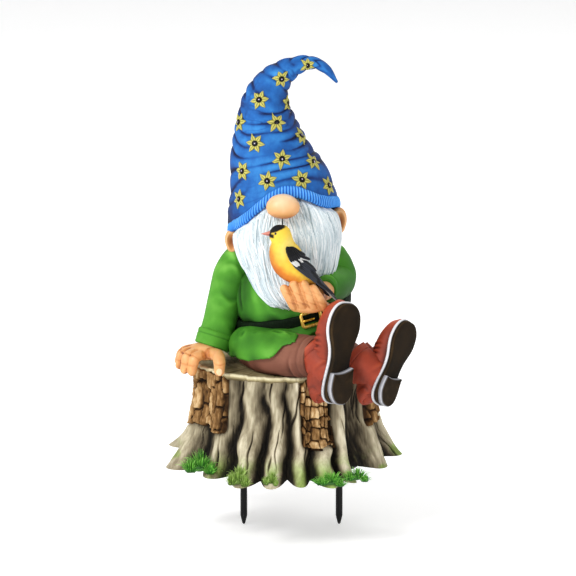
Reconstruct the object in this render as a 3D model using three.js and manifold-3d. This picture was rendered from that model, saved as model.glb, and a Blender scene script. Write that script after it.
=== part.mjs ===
// A garden-stake figure: a bearded gnome who sits on a tree stump with a goldfinch in one hand.
// It is an assembly of separately cast, painted pieces on two round steel ground stakes.
// Frame: millimetres, +Z up, the front faces -Y. The origin is on the ground, midway between the stakes.
// "right" and "left" in the names are the gnome's own, so its right hand is on the -X side.
import * as THREE from "three";
import { mergeVertices } from "three/addons/utils/BufferGeometryUtils.js";
import Module from "manifold-3d";

const wasm = await Module();
wasm.setup();

// ---------- driving dimensions ----------
const GAP = 0.45; // how far a piece is grown before it is cut from a neighbour
const SOFT = 0.13; // the largest step that is smoothed away on a soft, moulded piece
const EXACT = 0.01; // the same for turned and flat pieces
const STAKE_SPACING = 82.6;
const STAKE_R = 3;
const STAKE_TOP = 46;
const STAKE_TIP = -58.5;
const SOCKET_R = 5;
const SOCKET_TOP = 52;
const PLATE_R = 62;
const PLATE_T = 4;
const SCREW_CIRCLE_R = 52;
const SEAT_BOLT = [-16, 4];
const STUMP = { x: -6, rx: 80, ry: 71, top: 86.2, lid: 4 };
const HEAD = { at: [-6, 3, 212], r: [40, 38, 42] };
const BRIM = { x: -7, rx: 48.5, ry: 46, band: 10, thick: 4.5 };
const BELT = { x: 1.2, y: -3.5, rx: 50, ry: 47, z: 134.4, slope: 0.235, height: 9, thick: 4 };

// ---------- paint ----------
const paint = (color, roughness = 0.6, metalness = 0) =>
  new THREE.MeshStandardMaterial({ color, roughness, metalness });
const PAINT = {
  black_steel: paint(0x101012, 0.35, 0.6),
  zinc_steel: paint(0x9a9da3, 0.4, 0.8),
  plate: paint(0x2b2926, 0.8),
  wood: paint(0x8b8173, 0.9),
  cut_wood: paint(0xa39775, 0.85),
  bark: paint(0x7c5a32, 0.9),
  grass: paint(0x58b52d, 0.7),
  moss: paint(0x7fa23c, 0.85),
  skin: paint(0xe0a468, 0.55),
  hair: paint(0xd3dde0, 0.7),
  hat: paint(0x2f6fd0, 0.75),
  hat_rib: paint(0x3d86f0, 0.8),
  tunic: paint(0x4c9a2a, 0.75),
  trousers: paint(0x7c4a3c, 0.8),
  belt: paint(0x0d1a0d, 0.5),
  gold: paint(0xf0c03a, 0.3, 0.7),
  boot: paint(0xa5452f, 0.5),
  welt: paint(0xd9d9d9, 0.45),
  sole: paint(0x33231a, 0.8),
  heel: paint(0x8e8e8e, 0.5),
  bird: paint(0xf0bf36, 0.7),
  beak: paint(0xc9705c, 0.5),
  feather: paint(0x1c1c1e, 0.6),
};

// ---------- solids from three.js geometry ----------
const vec = (a) => new THREE.Vector3(...a);
const lerp = THREE.MathUtils.lerp;
const rad = THREE.MathUtils.degToRad;

// The closed solid of a geometry, after each vertex is moved by map, if one is given.
function solid(geometry, map) {
  const g = geometry.index ? geometry.clone() : mergeVertices(geometry);
  for (const name of Object.keys(g.attributes)) {
    if (name !== "position") g.deleteAttribute(name);
  }
  const position = g.getAttribute("position");
  for (let i = 0; map && i < position.count; i++) {
    const p = map(new THREE.Vector3().fromBufferAttribute(position, i));
    position.setXYZ(i, p.x, p.y, p.z);
  }
  const merged = mergeVertices(g, 1e-4);
  const triVerts = Uint32Array.from(merged.index.array);
  const vertProperties = merged.getAttribute("position").array;
  return new wasm.Manifold(new wasm.Mesh({ numProp: 3, vertProperties, triVerts }));
}

const join = (...solids) => solids.reduce((a, b) => a.add(b));

// A closed ball squeezed to three radii and turned by Euler angles in degrees.
function ball(at, radii, turn = [0, 0, 0], across = 16, down = 8) {
  const euler = new THREE.Euler(...turn.map(rad));
  const move = (p) => p.multiply(vec(radii)).applyEuler(euler).add(vec(at));
  return solid(new THREE.SphereGeometry(1, across, down), move);
}

const curve = (points) => new THREE.CatmullRomCurve3(points.map(vec), false, "catmullrom");

// A closed body through stations [x, y, z, half size along side, half size across it].
// Rings stand square to the path, with side as the reference for their first half size.
function loft(stations, side, sides = 16, steps = 2) {
  const path = curve(stations.map((s) => s.slice(0, 3)));
  const sizes = curve(stations.map((s) => [s[3], s[4] ?? s[3], 0]));
  const rings = (stations.length - 1) * steps;
  return solid(new THREE.CylinderGeometry(1, 1, 1, sides, rings), (p) => {
    const t = THREE.MathUtils.clamp(p.y + 0.5, 0, 1);
    const along = path.getTangent(t);
    const u = vec(side).addScaledVector(along, -vec(side).dot(along)).normalize();
    const w = new THREE.Vector3().crossVectors(u, along);
    const size = sizes.getPoint(t);
    return path.getPoint(t).addScaledVector(u, p.x * size.x).addScaledVector(w, p.z * size.y);
  });
}

// A round bar along Z, with rings [radius, z] from the bottom up.
function turned(x, y, rings, segments = 12) {
  const profile = [[0, rings[0][1]], ...rings, [0, rings.at(-1)[1]]].map((q) => new THREE.Vector2(...q));
  return solid(new THREE.LatheGeometry(profile, segments), (p) => new THREE.Vector3(x + p.x, y - p.z, p.y));
}

// A band around Z with a closed profile [radius share, height], placed by map(angle, share, height).
function band(profile, map, segments = 36) {
  const closed = [...profile, profile[0]].map((q) => new THREE.Vector2(...q));
  return solid(new THREE.LatheGeometry(closed, segments), (p) =>
    map(Math.atan2(-p.z, p.x), Math.hypot(p.x, p.z), p.y),
  );
}

// The solid with every face pushed out by the same distance.
function grown(body, by) {
  const m = body.getMesh();
  const g = new THREE.BufferGeometry()
    .setAttribute("position", new THREE.BufferAttribute(new Float32Array(m.vertProperties), 3))
    .setIndex(new THREE.BufferAttribute(new Uint32Array(m.triVerts), 1));
  g.computeVertexNormals();
  const position = g.getAttribute("position");
  const normals = g.getAttribute("normal");
  // How squarely each vertex's normal meets the most slanted of its faces.
  const square = new Float32Array(position.count).fill(1);
  const triangle = new THREE.Triangle();
  const face = new THREE.Vector3();
  const normal = new THREE.Vector3();
  for (let i = 0; i < m.triVerts.length; i += 3) {
    const corners = m.triVerts.slice(i, i + 3);
    triangle.setFromAttributeAndIndices(position, ...corners).getNormal(face);
    for (const v of corners) {
      square[v] = Math.min(square[v], face.dot(normal.fromBufferAttribute(normals, v)));
    }
  }
  const vertProperties = new Float32Array(position.count * 3);
  for (let i = 0; i < position.count; i++) {
    const p = new THREE.Vector3().fromBufferAttribute(position, i);
    p.addScaledVector(normal.fromBufferAttribute(normals, i), by / Math.max(square[i], 0.45));
    p.toArray(vertProperties, 3 * i);
  }
  return new wasm.Manifold(new wasm.Mesh({ numProp: 3, vertProperties, triVerts: m.triVerts }));
}

const largest = (body) => body.decompose().sort((a, b) => b.volume() - a.volume())[0];

// ---------- the assembly ----------
const figure = new THREE.Group();
const placed = [];

// Adds a piece to the figure. It gives way to every piece placed before it.
function place(name, material, raw, fine = SOFT) {
  const clear = (body, which) => {
    const met = placed.map((piece) => piece[which]).filter((piece) => body.intersect(piece).volume() > 0);
    return largest(met.reduce((rest, piece) => rest.subtract(piece), body));
  };
  const smooth = clear(raw, "cutter").asOriginal().simplify(fine);
  const body = clear(smooth, "body");
  const m = body.getMesh();
  const geometry = new THREE.BufferGeometry()
    .setAttribute("position", new THREE.BufferAttribute(new Float32Array(m.vertProperties), 3))
    .setIndex(new THREE.BufferAttribute(new Uint32Array(m.triVerts), 1));
  const mesh = new THREE.Mesh(geometry, material);
  mesh.name = name;
  figure.add(mesh);
  placed.push({ body, cutter: grown(raw.asOriginal().simplify(fine), GAP) });
}

const SIDES = [
  { name: "right", sign: -1 },
  { name: "left", sign: 1 },
];

// ---------- ground stakes, sockets and base ----------
function stake(x) {
  const rings = [
    [0.4, STAKE_TIP], [1.3, STAKE_TIP + 1], [STAKE_R, STAKE_TIP + 8],
    [STAKE_R, STAKE_TOP - 1], [STAKE_R - 1, STAKE_TOP],
  ];
  return turned(x, 0, rings);
}

// A steel sleeve closed at the top, with a flange that the base plate holds in place.
function socket(x) {
  const bore = STAKE_R + 0.3;
  const low = PLATE_T + 0.3;
  const flange = SOCKET_R + 3;
  const rings = [[flange, low], [flange, low + 2], [SOCKET_R, low + 2], [SOCKET_R, SOCKET_TOP]];
  const shell = turned(x, 0, rings);
  return shell.subtract(turned(x, 0, [[bore, low - 1], [bore, STAKE_TOP + 0.8]]));
}

const screwAt = (i) => {
  const angle = rad(45 + 90 * i);
  return [SCREW_CIRCLE_R * Math.cos(angle), SCREW_CIRCLE_R * Math.sin(angle)];
};

function screw(i) {
  const [x, y] = screwAt(i);
  return turned(x, y, [[3.2, 0.6], [3.2, 1.4], [1.6, 3], [1.6, 16], [0.3, 19]], 8);
}

function basePlate() {
  let plate = turned(0, 0, [[PLATE_R, 0], [PLATE_R, PLATE_T]], 36);
  for (const { sign } of SIDES) {
    const bore = STAKE_R + 0.5;
    plate = plate.subtract(turned((sign * STAKE_SPACING) / 2, 0, [[bore, -1], [bore, PLATE_T + 1]]));
  }
  for (let i = 0; i < 4; i++) {
    const [x, y] = screwAt(i);
    plate = plate.subtract(turned(x, y, [[3.7, -1], [3.7, 1.6], [2.2, 3.2], [2.2, 6]], 8));
  }
  return plate;
}

function groundFixings() {
  for (const { name, sign } of SIDES) {
    place(`stake_${name}`, PAINT.black_steel, stake((sign * STAKE_SPACING) / 2), EXACT);
    // The socket's bore holds the stake, so the sleeve is cut before it is placed.
    place(`stake_socket_${name}`, PAINT.zinc_steel, socket((sign * STAKE_SPACING) / 2), EXACT);
  }
  for (let i = 0; i < 4; i++) place(`base_screw_${i + 1}`, PAINT.zinc_steel, screw(i), EXACT);
  place("base_plate", PAINT.plate, basePlate(), EXACT);
  const [x, y] = SEAT_BOLT;
  place("seat_bolt", PAINT.zinc_steel, turned(x, y, [[5.5, 5], [5.5, 9], [3, 9], [3, 104]]), EXACT);
  const insert = turned(x, y, [[5, 93], [5, 110]]).subtract(turned(x, y, [[3.5, 92], [3.5, 106]]));
  place("seat_insert", PAINT.zinc_steel, insert, EXACT);
  place("neck_dowel", PAINT.zinc_steel, turned(-7, 6, [[5, 164], [5, 198]]), EXACT);
}

// ---------- hat, nose and head ----------
// The brim dips at the back and the gnome's right, and rises over the nose.
function brimHeight(angle) {
  const wave = 11.25 * Math.cos(angle) - 23 * Math.sin(angle) - 4.1 * Math.cos(2 * angle);
  return 220.6 + wave - 4 * (1 - Math.cos(4 * angle));
}

function brimPoint(angle, share, height) {
  const x = BRIM.x + BRIM.rx * share * Math.cos(angle);
  return new THREE.Vector3(x, BRIM.ry * share * Math.sin(angle), brimHeight(angle) + height);
}

function hatBrim() {
  const inner = 1 - BRIM.thick / BRIM.rx;
  const half = BRIM.band / 2;
  const profile = [[inner, -half], [1, -half], [1.03, 0], [1, half], [inner, half]];
  return band(profile, brimPoint);
}

// [x, z, half depth, half width] up the hat, which leans to -X and curls over to +X at the tip.
const HAT_STATIONS = [
  [-7.5, 226, 44, 47.5], [-10.2, 244, 42, 44.6], [-15.5, 261, 37, 38.4], [-19.6, 280.5, 31.5, 32],
  [-22, 300, 25.5, 25.4], [-22, 316, 21, 20.6], [-17.4, 330, 16.5, 16.2], [-7.8, 341, 11.8, 11.6],
  [5.5, 348.8, 8, 7.8], [19.5, 350.2, 5.4, 5.2], [30, 344.5, 4, 4], [38.4, 334, 1.3, 1.3],
];

function hatCone() {
  const path = curve(HAT_STATIONS.map(([x, z]) => [x, 0, z]));
  const sizes = curve(HAT_STATIONS.map(([, , depth, width]) => [depth, width, 0]));
  const depthways = new THREE.Vector3(0, 1, 0);
  return solid(new THREE.CylinderGeometry(1, 1, 1, 22, 14), (p) => {
    const t = p.y + 0.5;
    const across = new THREE.Vector3().crossVectors(depthways, path.getTangent(t));
    const size = sizes.getPoint(t);
    const ring = path.getPoint(t).addScaledVector(depthways, p.x * size.x);
    ring.addScaledVector(across, p.z * size.y);
    // The lowest rings meet the wavy brim.
    const share = Math.hypot(p.x, p.z);
    const foot = brimPoint(Math.atan2(p.x, p.z), share * 0.97, 1);
    if (share < 0.5) foot.z = 224;
    return foot.lerp(ring, THREE.MathUtils.smoothstep(t, 0, 0.14));
  });
}

function headPieces() {
  place("nose", PAINT.skin, ball([-7.3, -51, 236.6], [14.2, 11, 10.5]));
  place("hat_brim", PAINT.hat_rib, hatBrim());
  place("ear_right", PAINT.skin, ball([-50, -6, 195.6], [6, 4, 9.6], [0, 12, 0], 12, 8));
  place("ear_left", PAINT.skin, ball([39.6, -6, 213.5], [6, 4, 10.6], [0, -8, 0], 12, 8));
}

// ---------- the goldfinch and the hand that holds it ----------
const BIRD_Y = -73;

function birdBody() {
  const trunk = [
    [-9, BIRD_Y, 223, 4.5], [-9, BIRD_Y, 219, 8.8], [-7.8, BIRD_Y, 212, 9.6], [-6.4, BIRD_Y, 203, 13],
    [-2, BIRD_Y, 192.5, 14.2], [6.5, BIRD_Y, 183.5, 11], [15, BIRD_Y + 1, 178, 6.5],
    [20, BIRD_Y + 2, 175.5, 3],
  ];
  return join(loft(trunk, [0, 1, 0], 14), ball([-9.4, BIRD_Y, 218.2], [9.8, 9, 9.4], [0, 0, 0], 14, 8));
}

const birdWing = (sign) => {
  const y = BIRD_Y + sign * 11.5;
  const wing = [
    [-3, y, 207, 1, 2], [-0.5, y, 202, 2.4, 6], [7, y, 194, 2.6, 7.2], [16, y - sign * 2, 186, 2.2, 5.4],
    [27, y - sign * 6, 177, 1, 1.6],
  ];
  return loft(wing, [0, 1, 0], 10, 1);
};

function birdPieces() {
  place("bird_pin", PAINT.zinc_steel, turned(4, -72, [[1.5, 162], [1.5, 188]], 8), EXACT);
  const beak = [[-25.4, BIRD_Y, 219.3, 0.4], [-21, BIRD_Y, 219.4, 1.8], [-16, BIRD_Y, 219.6, 3]];
  const tail = [[18, -72, 181, 2, 3.4], [27, -71, 172, 1.8, 3.8], [41, -69.5, 157, 1, 2.6]];
  place("bird_beak", PAINT.beak, loft(beak, [0, 1, 0], 10));
  place("bird_wing_near", PAINT.feather, birdWing(-1));
  place("bird_wing_far", PAINT.feather, birdWing(1));
  place("bird_tail", PAINT.feather, loft(tail, [0, 1, 0], 10));
  place("bird_body", PAINT.bird, birdBody());
}

// A finger as a bent round bar through three or more points, with a blunt tip.
const finger = (points, r) => {
  const [joint, tip] = points.slice(-2).map(vec);
  const end = tip.clone().add(tip.clone().sub(joint).setLength(r * 0.8));
  const stations = points.map((p) => [...p, r]);
  return loft([...stations, [end.x, end.y, end.z, r * 0.4]], [0.3, 0.8, 0.2], 8, 1);
};

function handLeft() {
  const palm = ball([13, -69, 164.5], [19, 10.5, 13], [0, -8, 0], 14, 8);
  const wrist = loft([[17, -66, 163, 10, 9], [25, -59, 163, 9, 9], [31, -50, 163, 7, 7]], [0, 0, 1], 12);
  const places = [[-3.5, 169, 4.6], [5, 172, 5.1], [13.5, 172, 5.2], [21.5, 170.5, 4.8]];
  const fingers = places.map(([x, top, r]) => {
    const curl = [[x + 5, -71, 156], [x + 2.5, -79.5, 158], [x, -82.5, 165], [x - 1.5, -80, top + 3]];
    return finger(curl, r);
  });
  return join(palm, wrist, ...fingers);
}

function handRight() {
  const back = ball([-76, -27, 101.5], [15, 12.5, 7], [0, 0, 30], 14, 8);
  const arm = [[-74, -26, 101, 8.5, 7], [-69, -21, 108, 8, 8], [-66.5, -17, 116, 8, 8]];
  const wrist = loft(arm, [1, 0, 0], 12);
  const fingers = [
    [[-78, -35, 100], [-84, -41, 97], [-86.5, -44, 86.5]], [[-82, -32, 101.5], [-90, -38, 98],
    [-93, -41, 87.5]],
    [[-84, -26, 102], [-94, -30.5, 98], [-97.5, -32.5, 89.5]], [[-84, -19, 102], [-94.5, -22, 98],
    [-98.5, -23.5, 91.5]],
  ].map((points) => finger(points, 4.4));
  const thumb = finger([[-68, -33, 100], [-63, -48, 101], [-62.5, -59.5, 97], [-62.8, -61.5, 89.5]], 4.9);
  return join(back, wrist, thumb, ...fingers);
}

// ---------- belt and buckle ----------
const beltHeight = (x) => BELT.z + BELT.slope * (x - BELT.x);

function beltRing() {
  const inner = 1 - BELT.thick / BELT.rx;
  const half = BELT.height / 2;
  return band([[inner, -half], [1, -half], [1, half], [inner, half]], (angle, share, height) => {
    const x = BELT.x + BELT.rx * share * Math.cos(angle);
    return new THREE.Vector3(x, BELT.y + BELT.ry * share * Math.sin(angle), beltHeight(x) + height);
  });
}

// A rounded frame, made flat and then stood up against the belt.
const BUCKLE = { x: 16.5, width: 19.5, height: 14.6, bar: 2.6, thick: 2.4, lean: 13, turn: 17 };

function roundedRectangle(width, height, corner) {
  const s = new THREE.Shape();
  const [w, h] = [width / 2, height / 2];
  s.moveTo(-w + corner, -h);
  s.lineTo(w - corner, -h).absarc(w - corner, -h + corner, corner, -Math.PI / 2, 0);
  s.lineTo(w, h - corner).absarc(w - corner, h - corner, corner, 0, Math.PI / 2);
  s.lineTo(-w + corner, h).absarc(-w + corner, h - corner, corner, Math.PI / 2, Math.PI);
  s.lineTo(-w, -h + corner).absarc(-w + corner, -h + corner, corner, Math.PI, 1.5 * Math.PI);
  return s;
}

function buckleStand(geometry, proud) {
  const euler = new THREE.Euler(Math.PI / 2, 0, 0);
  const lean = new THREE.Euler(0, -rad(BUCKLE.lean), rad(BUCKLE.turn), "ZYX");
  const share = (BUCKLE.x - BELT.x) / BELT.rx;
  const face = BELT.y - BELT.ry * Math.sqrt(1 - share * share);
  const at = new THREE.Vector3(BUCKLE.x, face - proud, beltHeight(BUCKLE.x));
  return solid(geometry, (p) => p.applyEuler(euler).applyEuler(lean).add(at));
}

function beltPieces() {
  const outline = roundedRectangle(BUCKLE.width, BUCKLE.height, 3.2);
  const { bar, thick } = BUCKLE;
  outline.holes.push(roundedRectangle(BUCKLE.width - 2 * bar, BUCKLE.height - 2 * bar, 1.6));
  const frame = new THREE.ExtrudeGeometry(outline, { depth: thick, bevelEnabled: false, curveSegments: 4 });
  const prong = new THREE.BoxGeometry(9, 1.5, 1.4).translate(-2.4, 0, thick + 1.2);
  place("buckle_frame", PAINT.gold, buckleStand(frame, 0.6));
  place("buckle_prong", PAINT.gold, buckleStand(prong, 0.6));
  place("belt", PAINT.belt, beltRing());
}

// ---------- boots ----------
// Each boot is drawn standing on its sole, toe to +Y, and then laid back with the leg.
const BOOTS = {
  right: { at: [37.5, -101.5, 76.6], turn: 42, tilt: 11, size: 1 },
  left: { at: [76, -92, 73.5], turn: 49, tilt: 33, size: 0.88 },
};

// The rigid placing of a boot: its up becomes the way back to the knee, its toe points up.
function bootFrame({ at, turn, tilt, size }) {
  const out = new THREE.Vector3(Math.sin(rad(turn)), -Math.cos(rad(turn)), 0);
  const level = new THREE.Vector3(Math.cos(rad(turn)), Math.sin(rad(turn)), 0);
  const toe = new THREE.Vector3(0, 0, Math.cos(rad(tilt))).addScaledVector(level, Math.sin(rad(tilt)));
  const up = out.negate();
  const basis = new THREE.Matrix4().makeBasis(new THREE.Vector3().crossVectors(toe, up), toe, up);
  return basis.setPosition(vec(at)).scale(new THREE.Vector3(size, size, size));
}

// The outline of the sole, grown all round by extra.
function soleOutline(extra) {
  const s = new THREE.Shape();
  const e = extra;
  s.moveTo(0, -e);
  s.bezierCurveTo(9 + e, -e, 12.5 + e, 4, 12.5 + e, 12);
  s.bezierCurveTo(12.5 + e, 24, 9.5 + e, 32, 10.5 + e, 42);
  s.bezierCurveTo(11.5 + e, 52, 17 + e, 54, 17 + e, 66);
  s.bezierCurveTo(17 + e, 80, 9 + e, 86 + e, 0, 86 + e);
  s.bezierCurveTo(-9 - e, 86 + e, -16 - e, 80, -16 - e, 66);
  s.bezierCurveTo(-16 - e, 54, -11 - e, 52, -10.5 - e, 42);
  s.bezierCurveTo(-9.5 - e, 32, -12.5 - e, 24, -12.5 - e, 12);
  s.bezierCurveTo(-12.5 - e, 4, -9 - e, -e, 0, -e);
  return s;
}

function slab(shape, low, high) {
  const options = { depth: high - low, bevelEnabled: false, curveSegments: 3 };
  return new THREE.ExtrudeGeometry(shape, options).translate(0, 0, low);
}

function heelOutline() {
  const s = new THREE.Shape();
  s.moveTo(0, -0.5);
  s.bezierCurveTo(9, -0.5, 12.5, 4, 12.5, 12);
  s.bezierCurveTo(12.5, 18, 11.8, 23, 11.4, 26.5);
  s.quadraticCurveTo(0, 26.5, -10.6, 32);
  s.bezierCurveTo(-11.5, 26, -12.5, 20, -12.5, 12);
  s.bezierCurveTo(-12.5, 4, -9, -0.5, 0, -0.5);
  return s;
}

function bootPieces(name, spec) {
  const frame = bootFrame(spec);
  const stand = (body) => body.transform(frame.toArray());
  const foot = [
    [0, 1.5, 15, 5, 7], [0, 5, 17, 10.5, 13], [0, 18, 19, 13, 16], [0, 36, 19, 13, 15.5],
    [0, 52, 16.5, 14.5, 13.5],
    [0, 66, 14.5, 15.8, 12], [0, 78, 12.5, 12.5, 9.5], [0, 85, 10.5, 5, 5],
  ];
  const shaft = [[0, 20, 11, 12, 13], [0, 24, 19, 15.5, 16], [0, 28.5, 29, 18, 17.6]];
  place(`boot_${name}_heel`, PAINT.heel, stand(solid(slab(heelOutline(), -4.8, -0.3))));
  place(`boot_${name}_sole`, PAINT.sole, stand(solid(slab(soleOutline(0), 0, 3.4))));
  place(`boot_${name}_welt`, PAINT.welt, stand(solid(slab(soleOutline(1), 3.8, 6.6))));
  const floor = solid(new THREE.BoxGeometry(60, 120, 12).translate(0, 40, 1));
  place(`boot_${name}_foot`, PAINT.boot, stand(loft(foot, [1, 0, 0], 16, 1).subtract(floor)));
  place(`boot_${name}_shaft`, PAINT.boot, stand(loft(shaft, [1, 0, 0], 16, 1).subtract(floor)));
}

// ---------- clothes ----------
function sleevePieces() {
  const cuff = [[-64, -16.5, 117, 15.8], [-68.2, -20, 106.5, 15]];
  const right = [
    [-30, 6, 186, 9, 9], [-38.5, 4, 182, 14, 14], [-50, 0, 168, 15.5, 15], [-56.5, -5, 146, 15, 15],
    [-61.5, -12, 126, 14.5, 14.5], [-65, -17.5, 114, 14.6, 14.6],
  ];
  const left = [
    [22, 6, 188, 8, 8], [29, 4, 183, 13, 13], [37.5, -2, 172, 15.5, 15.5], [39, -12, 162, 16, 15.5],
    [34.5, -34, 162, 13.2, 13], [28, -51, 163, 10.8, 10.8],
  ];
  place("cuff_right", PAINT.tunic, loft(cuff, [1, 0, 0], 16, 1));
  place("sleeve_right", PAINT.tunic, loft(right, [1, 0, 0], 16, 1));
  place("sleeve_left", PAINT.tunic, loft(left, [1, 0.2, 0], 16, 1));
}

const tunicBody = () =>
  loft([
    [1, -4, 121, 45.5, 41], [1.2, -4, 134, 48.5, 45], [-1, -3, 150, 48.5, 43],
    [-3, 0, 168, 43, 37], [-6, 3, 182, 30, 28], [-7, 4, 192, 21, 20],
  ], [1, 0, 0], 20, 1);

// The hem as [angle, height]: low at the back and over the seat, high over the thighs in front.
const HEM = [
  [-180, 96], [-150, 99], [-125, 102], [-105, 106], [-85, 116], [-65, 126], [-40, 128], [-15, 116],
  [10, 102], [40, 93], [120, 93],
  [180, 96],
];

function hemHeight(angle) {
  const at = THREE.MathUtils.radToDeg(angle);
  const next = Math.max(1, HEM.findIndex(([a]) => a >= at));
  const [from, to] = [HEM[next - 1], HEM[next]];
  return lerp(from[1], to[1], (at - from[0]) / (to[0] - from[0]));
}

function tunicSkirt() {
  const bell = solid(new THREE.CylinderGeometry(1, 1, 1, 36, 3), (p) => {
    const t = p.y + 0.5;
    const share = Math.hypot(p.x, p.z);
    const angle = Math.atan2(-p.z, p.x);
    const x = lerp(-3, 1.2, t) + lerp(55, 48.5, t) * p.x;
    const y = -4 - lerp(52, 45, t) * p.z;
    const low = share ? hemHeight(angle) : HEM[0][1];
    return new THREE.Vector3(x, y, lerp(low, beltHeight(x) - 1, t));
  });
  // A fold of the cloth lies over the top of the right thigh, above a slanting hem.
  const fold = loft([
    [-36, -12, 106.5, 17, 17], [-30, -30, 107.5, 21, 23], [-14, -50, 108, 21, 24],
    [9, -66, 109.5, 19, 21], [19, -74, 109.5, 17.5, 18.5],
  ], [0, 0, 1], 16, 2);
  const up = new THREE.Vector3(-0.662, -0.269, 1);
  const offset = 143.5 / up.length();
  return join(bell, fold.trimByPlane(up.normalize().toArray(), offset));
}

function legPieces() {
  const right = [
    [-36, -14, 104, 12, 13], [-30, -30, 106.5, 17.5, 19], [-14, -50, 107, 18.5, 20],
    [9, -66, 108, 17, 17], [21, -76, 107, 16, 15.5],
  ];
  const left = [
    [6, 4, 104, 12, 12], [13, -7, 107, 17, 17], [30, -32, 107, 18, 17.5],
    [50, -62, 103, 16, 15.5], [57, -73, 101, 14, 13.5],
  ];
  place("trouser_leg_right", PAINT.trousers, loft(right, [0, 0, 1], 16, 2));
  place("trouser_leg_left", PAINT.trousers, loft(left, [0, 0, 1], 16, 2));
  place("trouser_seat", PAINT.trousers, ball([-10, -8, 104.5], [44, 42, 16.5], [0, 0, 0], 20, 8));
}

// ---------- beard ----------
const beard = () =>
  loft([
    [-6, -24, 246, 26, 17], [-6, -23, 234, 37, 23], [-5, -22, 218, 43.5, 26],
    [-3, -23, 200, 45, 27.5], [-1, -28, 180, 39.5, 24],
    [0, -35, 163, 31, 17], [7, -41.5, 152.5, 26, 10.5], [8.5, -43.5, 146.2, 18, 6.5],
  ], [1, 0, 0], 20, 1);

// ---------- stump, bark and greenery ----------
// [angle, reach of the root tip at the ground, angular width] round the stump, in degrees and mm.
const ROOTS = [
  [-164, 106, 13], [-137, 92, 11], [-113, 103, 9], [-97, 99, 8], [-81, 94, 7], [-66, 104, 8],
  [-52, 99, 6], [-16, 92, 11],
  [10, 104, 10], [46, 99, 13], [86, 100, 14], [122, 98, 12], [154, 112, 9],
];

// The stump's radius at an angle and a height, with a ridge above each root.
function stumpRadius(angle, z) {
  const h = z / STUMP.top;
  const rim = 1 / Math.hypot(Math.cos(angle) / STUMP.rx, Math.sin(angle) / STUMP.ry);
  let ridge = 0;
  let reach = 0;
  for (const [at, tip, width] of ROOTS) {
    const off = THREE.MathUtils.euclideanModulo(THREE.MathUtils.radToDeg(angle) - at + 180, 360) - 180;
    const share = Math.exp(-((off / width) ** 2));
    ridge = Math.max(ridge, share);
    reach = Math.max(reach, share * (tip - rim - 4));
  }
  const valley = 4 * (1 - ridge) * Math.sin(Math.PI * h);
  return rim - 5 + 4 * ridge + reach * (1 - h) ** 3 + 5 * (1 - h) ** 2 - valley;
}

function stumpPoint(angle, z, out = 0) {
  const r = stumpRadius(angle, z) + out;
  return new THREE.Vector3(STUMP.x + r * Math.cos(angle), r * Math.sin(angle), z);
}

function stumpBody() {
  const body = solid(new THREE.CylinderGeometry(1, 1, 1, 60, 4), (p) => {
    const z = STUMP.top * (p.y + 0.5) ** 1.5;
    const share = Math.hypot(p.x, p.z);
    const edge = stumpPoint(Math.atan2(-p.z, p.x), z);
    return share ? edge : new THREE.Vector3(STUMP.x, 0, z);
  });
  return body.subtract(turned(0, 0, [[PLATE_R + 0.4, -1], [PLATE_R + 0.4, PLATE_T + 0.4]], 36));
}

function stumpLid() {
  return solid(new THREE.CylinderGeometry(1, 1, 1, 48, 1), (p) => {
    const share = Math.hypot(p.x, p.z);
    const z = STUMP.top + 0.4 + STUMP.lid * (p.y + 0.5);
    if (!share) return new THREE.Vector3(STUMP.x, 0, z);
    return stumpPoint(Math.atan2(-p.z, p.x), STUMP.top, 1.2).setZ(z);
  });
}

// A plate of bark that follows the stump between two angles and two heights.
function barkPatch(from, to, low, high) {
  const columns = Math.ceil(Math.abs(to - from) / 7);
  return solid(new THREE.BoxGeometry(1, 1, 1, columns, 2, 1), (p) => {
    const angle = rad(lerp(from, to, p.x + 0.5));
    return stumpPoint(angle, lerp(low, high, p.y + 0.5), lerp(-3, 3.2, p.z + 0.5));
  });
}

function stumpPieces() {
  const green = [
    ["grass_side", PAINT.grass, [-78, -58, 13], [13, 9, 12.6]],
    ["moss_front_right", PAINT.moss, [-46, -92, 10], [8.5, 7, 9.6]],
    ["moss_front", PAINT.moss, [-18, -93, 8], [7, 7, 7.6]],
    ["grass_front", PAINT.grass, [33, -92, 7.5], [12, 8, 7.1]],
    ["grass_front_left", PAINT.grass, [55, -78, 7.5], [11, 8, 7.1]],
  ];
  for (const [name, material, at, radii] of green) place(name, material, ball(at, radii, [0, 0, 0], 10, 6));
  place("bark_right", PAINT.bark, barkPatch(-182, -132, 38, 84));
  place("bark_front", PAINT.bark, barkPatch(-80, -56, 30, 84));
  place("bark_left", PAINT.bark, barkPatch(-24, 8, 38, 80));
  place("bark_back", PAINT.bark, barkPatch(66, 112, 34, 80));
  place("stump", PAINT.wood, stumpBody());
}

// Pieces placed first keep their whole shape, and the ones after are cut to fit against them.
groundFixings();
headPieces();
birdPieces();
place("hand_left", PAINT.skin, handLeft());
beltPieces();
for (const [name, spec] of Object.entries(BOOTS)) bootPieces(name, spec);
place("hand_right", PAINT.skin, handRight());
place("stump_top", PAINT.cut_wood, stumpLid());
place("head", PAINT.skin, ball(HEAD.at, HEAD.r, [0, 0, 0], 20, 12));
place("hat_cone", PAINT.hat, hatCone());
place("beard", PAINT.hair, beard());
sleevePieces();
place("tunic_body", PAINT.tunic, tunicBody());
legPieces();
place("tunic_skirt", PAINT.tunic, tunicSkirt());
stumpPieces();

export default figure;
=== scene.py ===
"""Looks for a garden stake figure: a gnome on a tree stump who holds a goldfinch.

Lengths in this script are millimetres until a mesh is made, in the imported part's own frame.
"""
import math

import bmesh
import bpy
import numpy as np
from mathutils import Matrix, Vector
from mathutils.bvhtree import BVHTree


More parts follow.
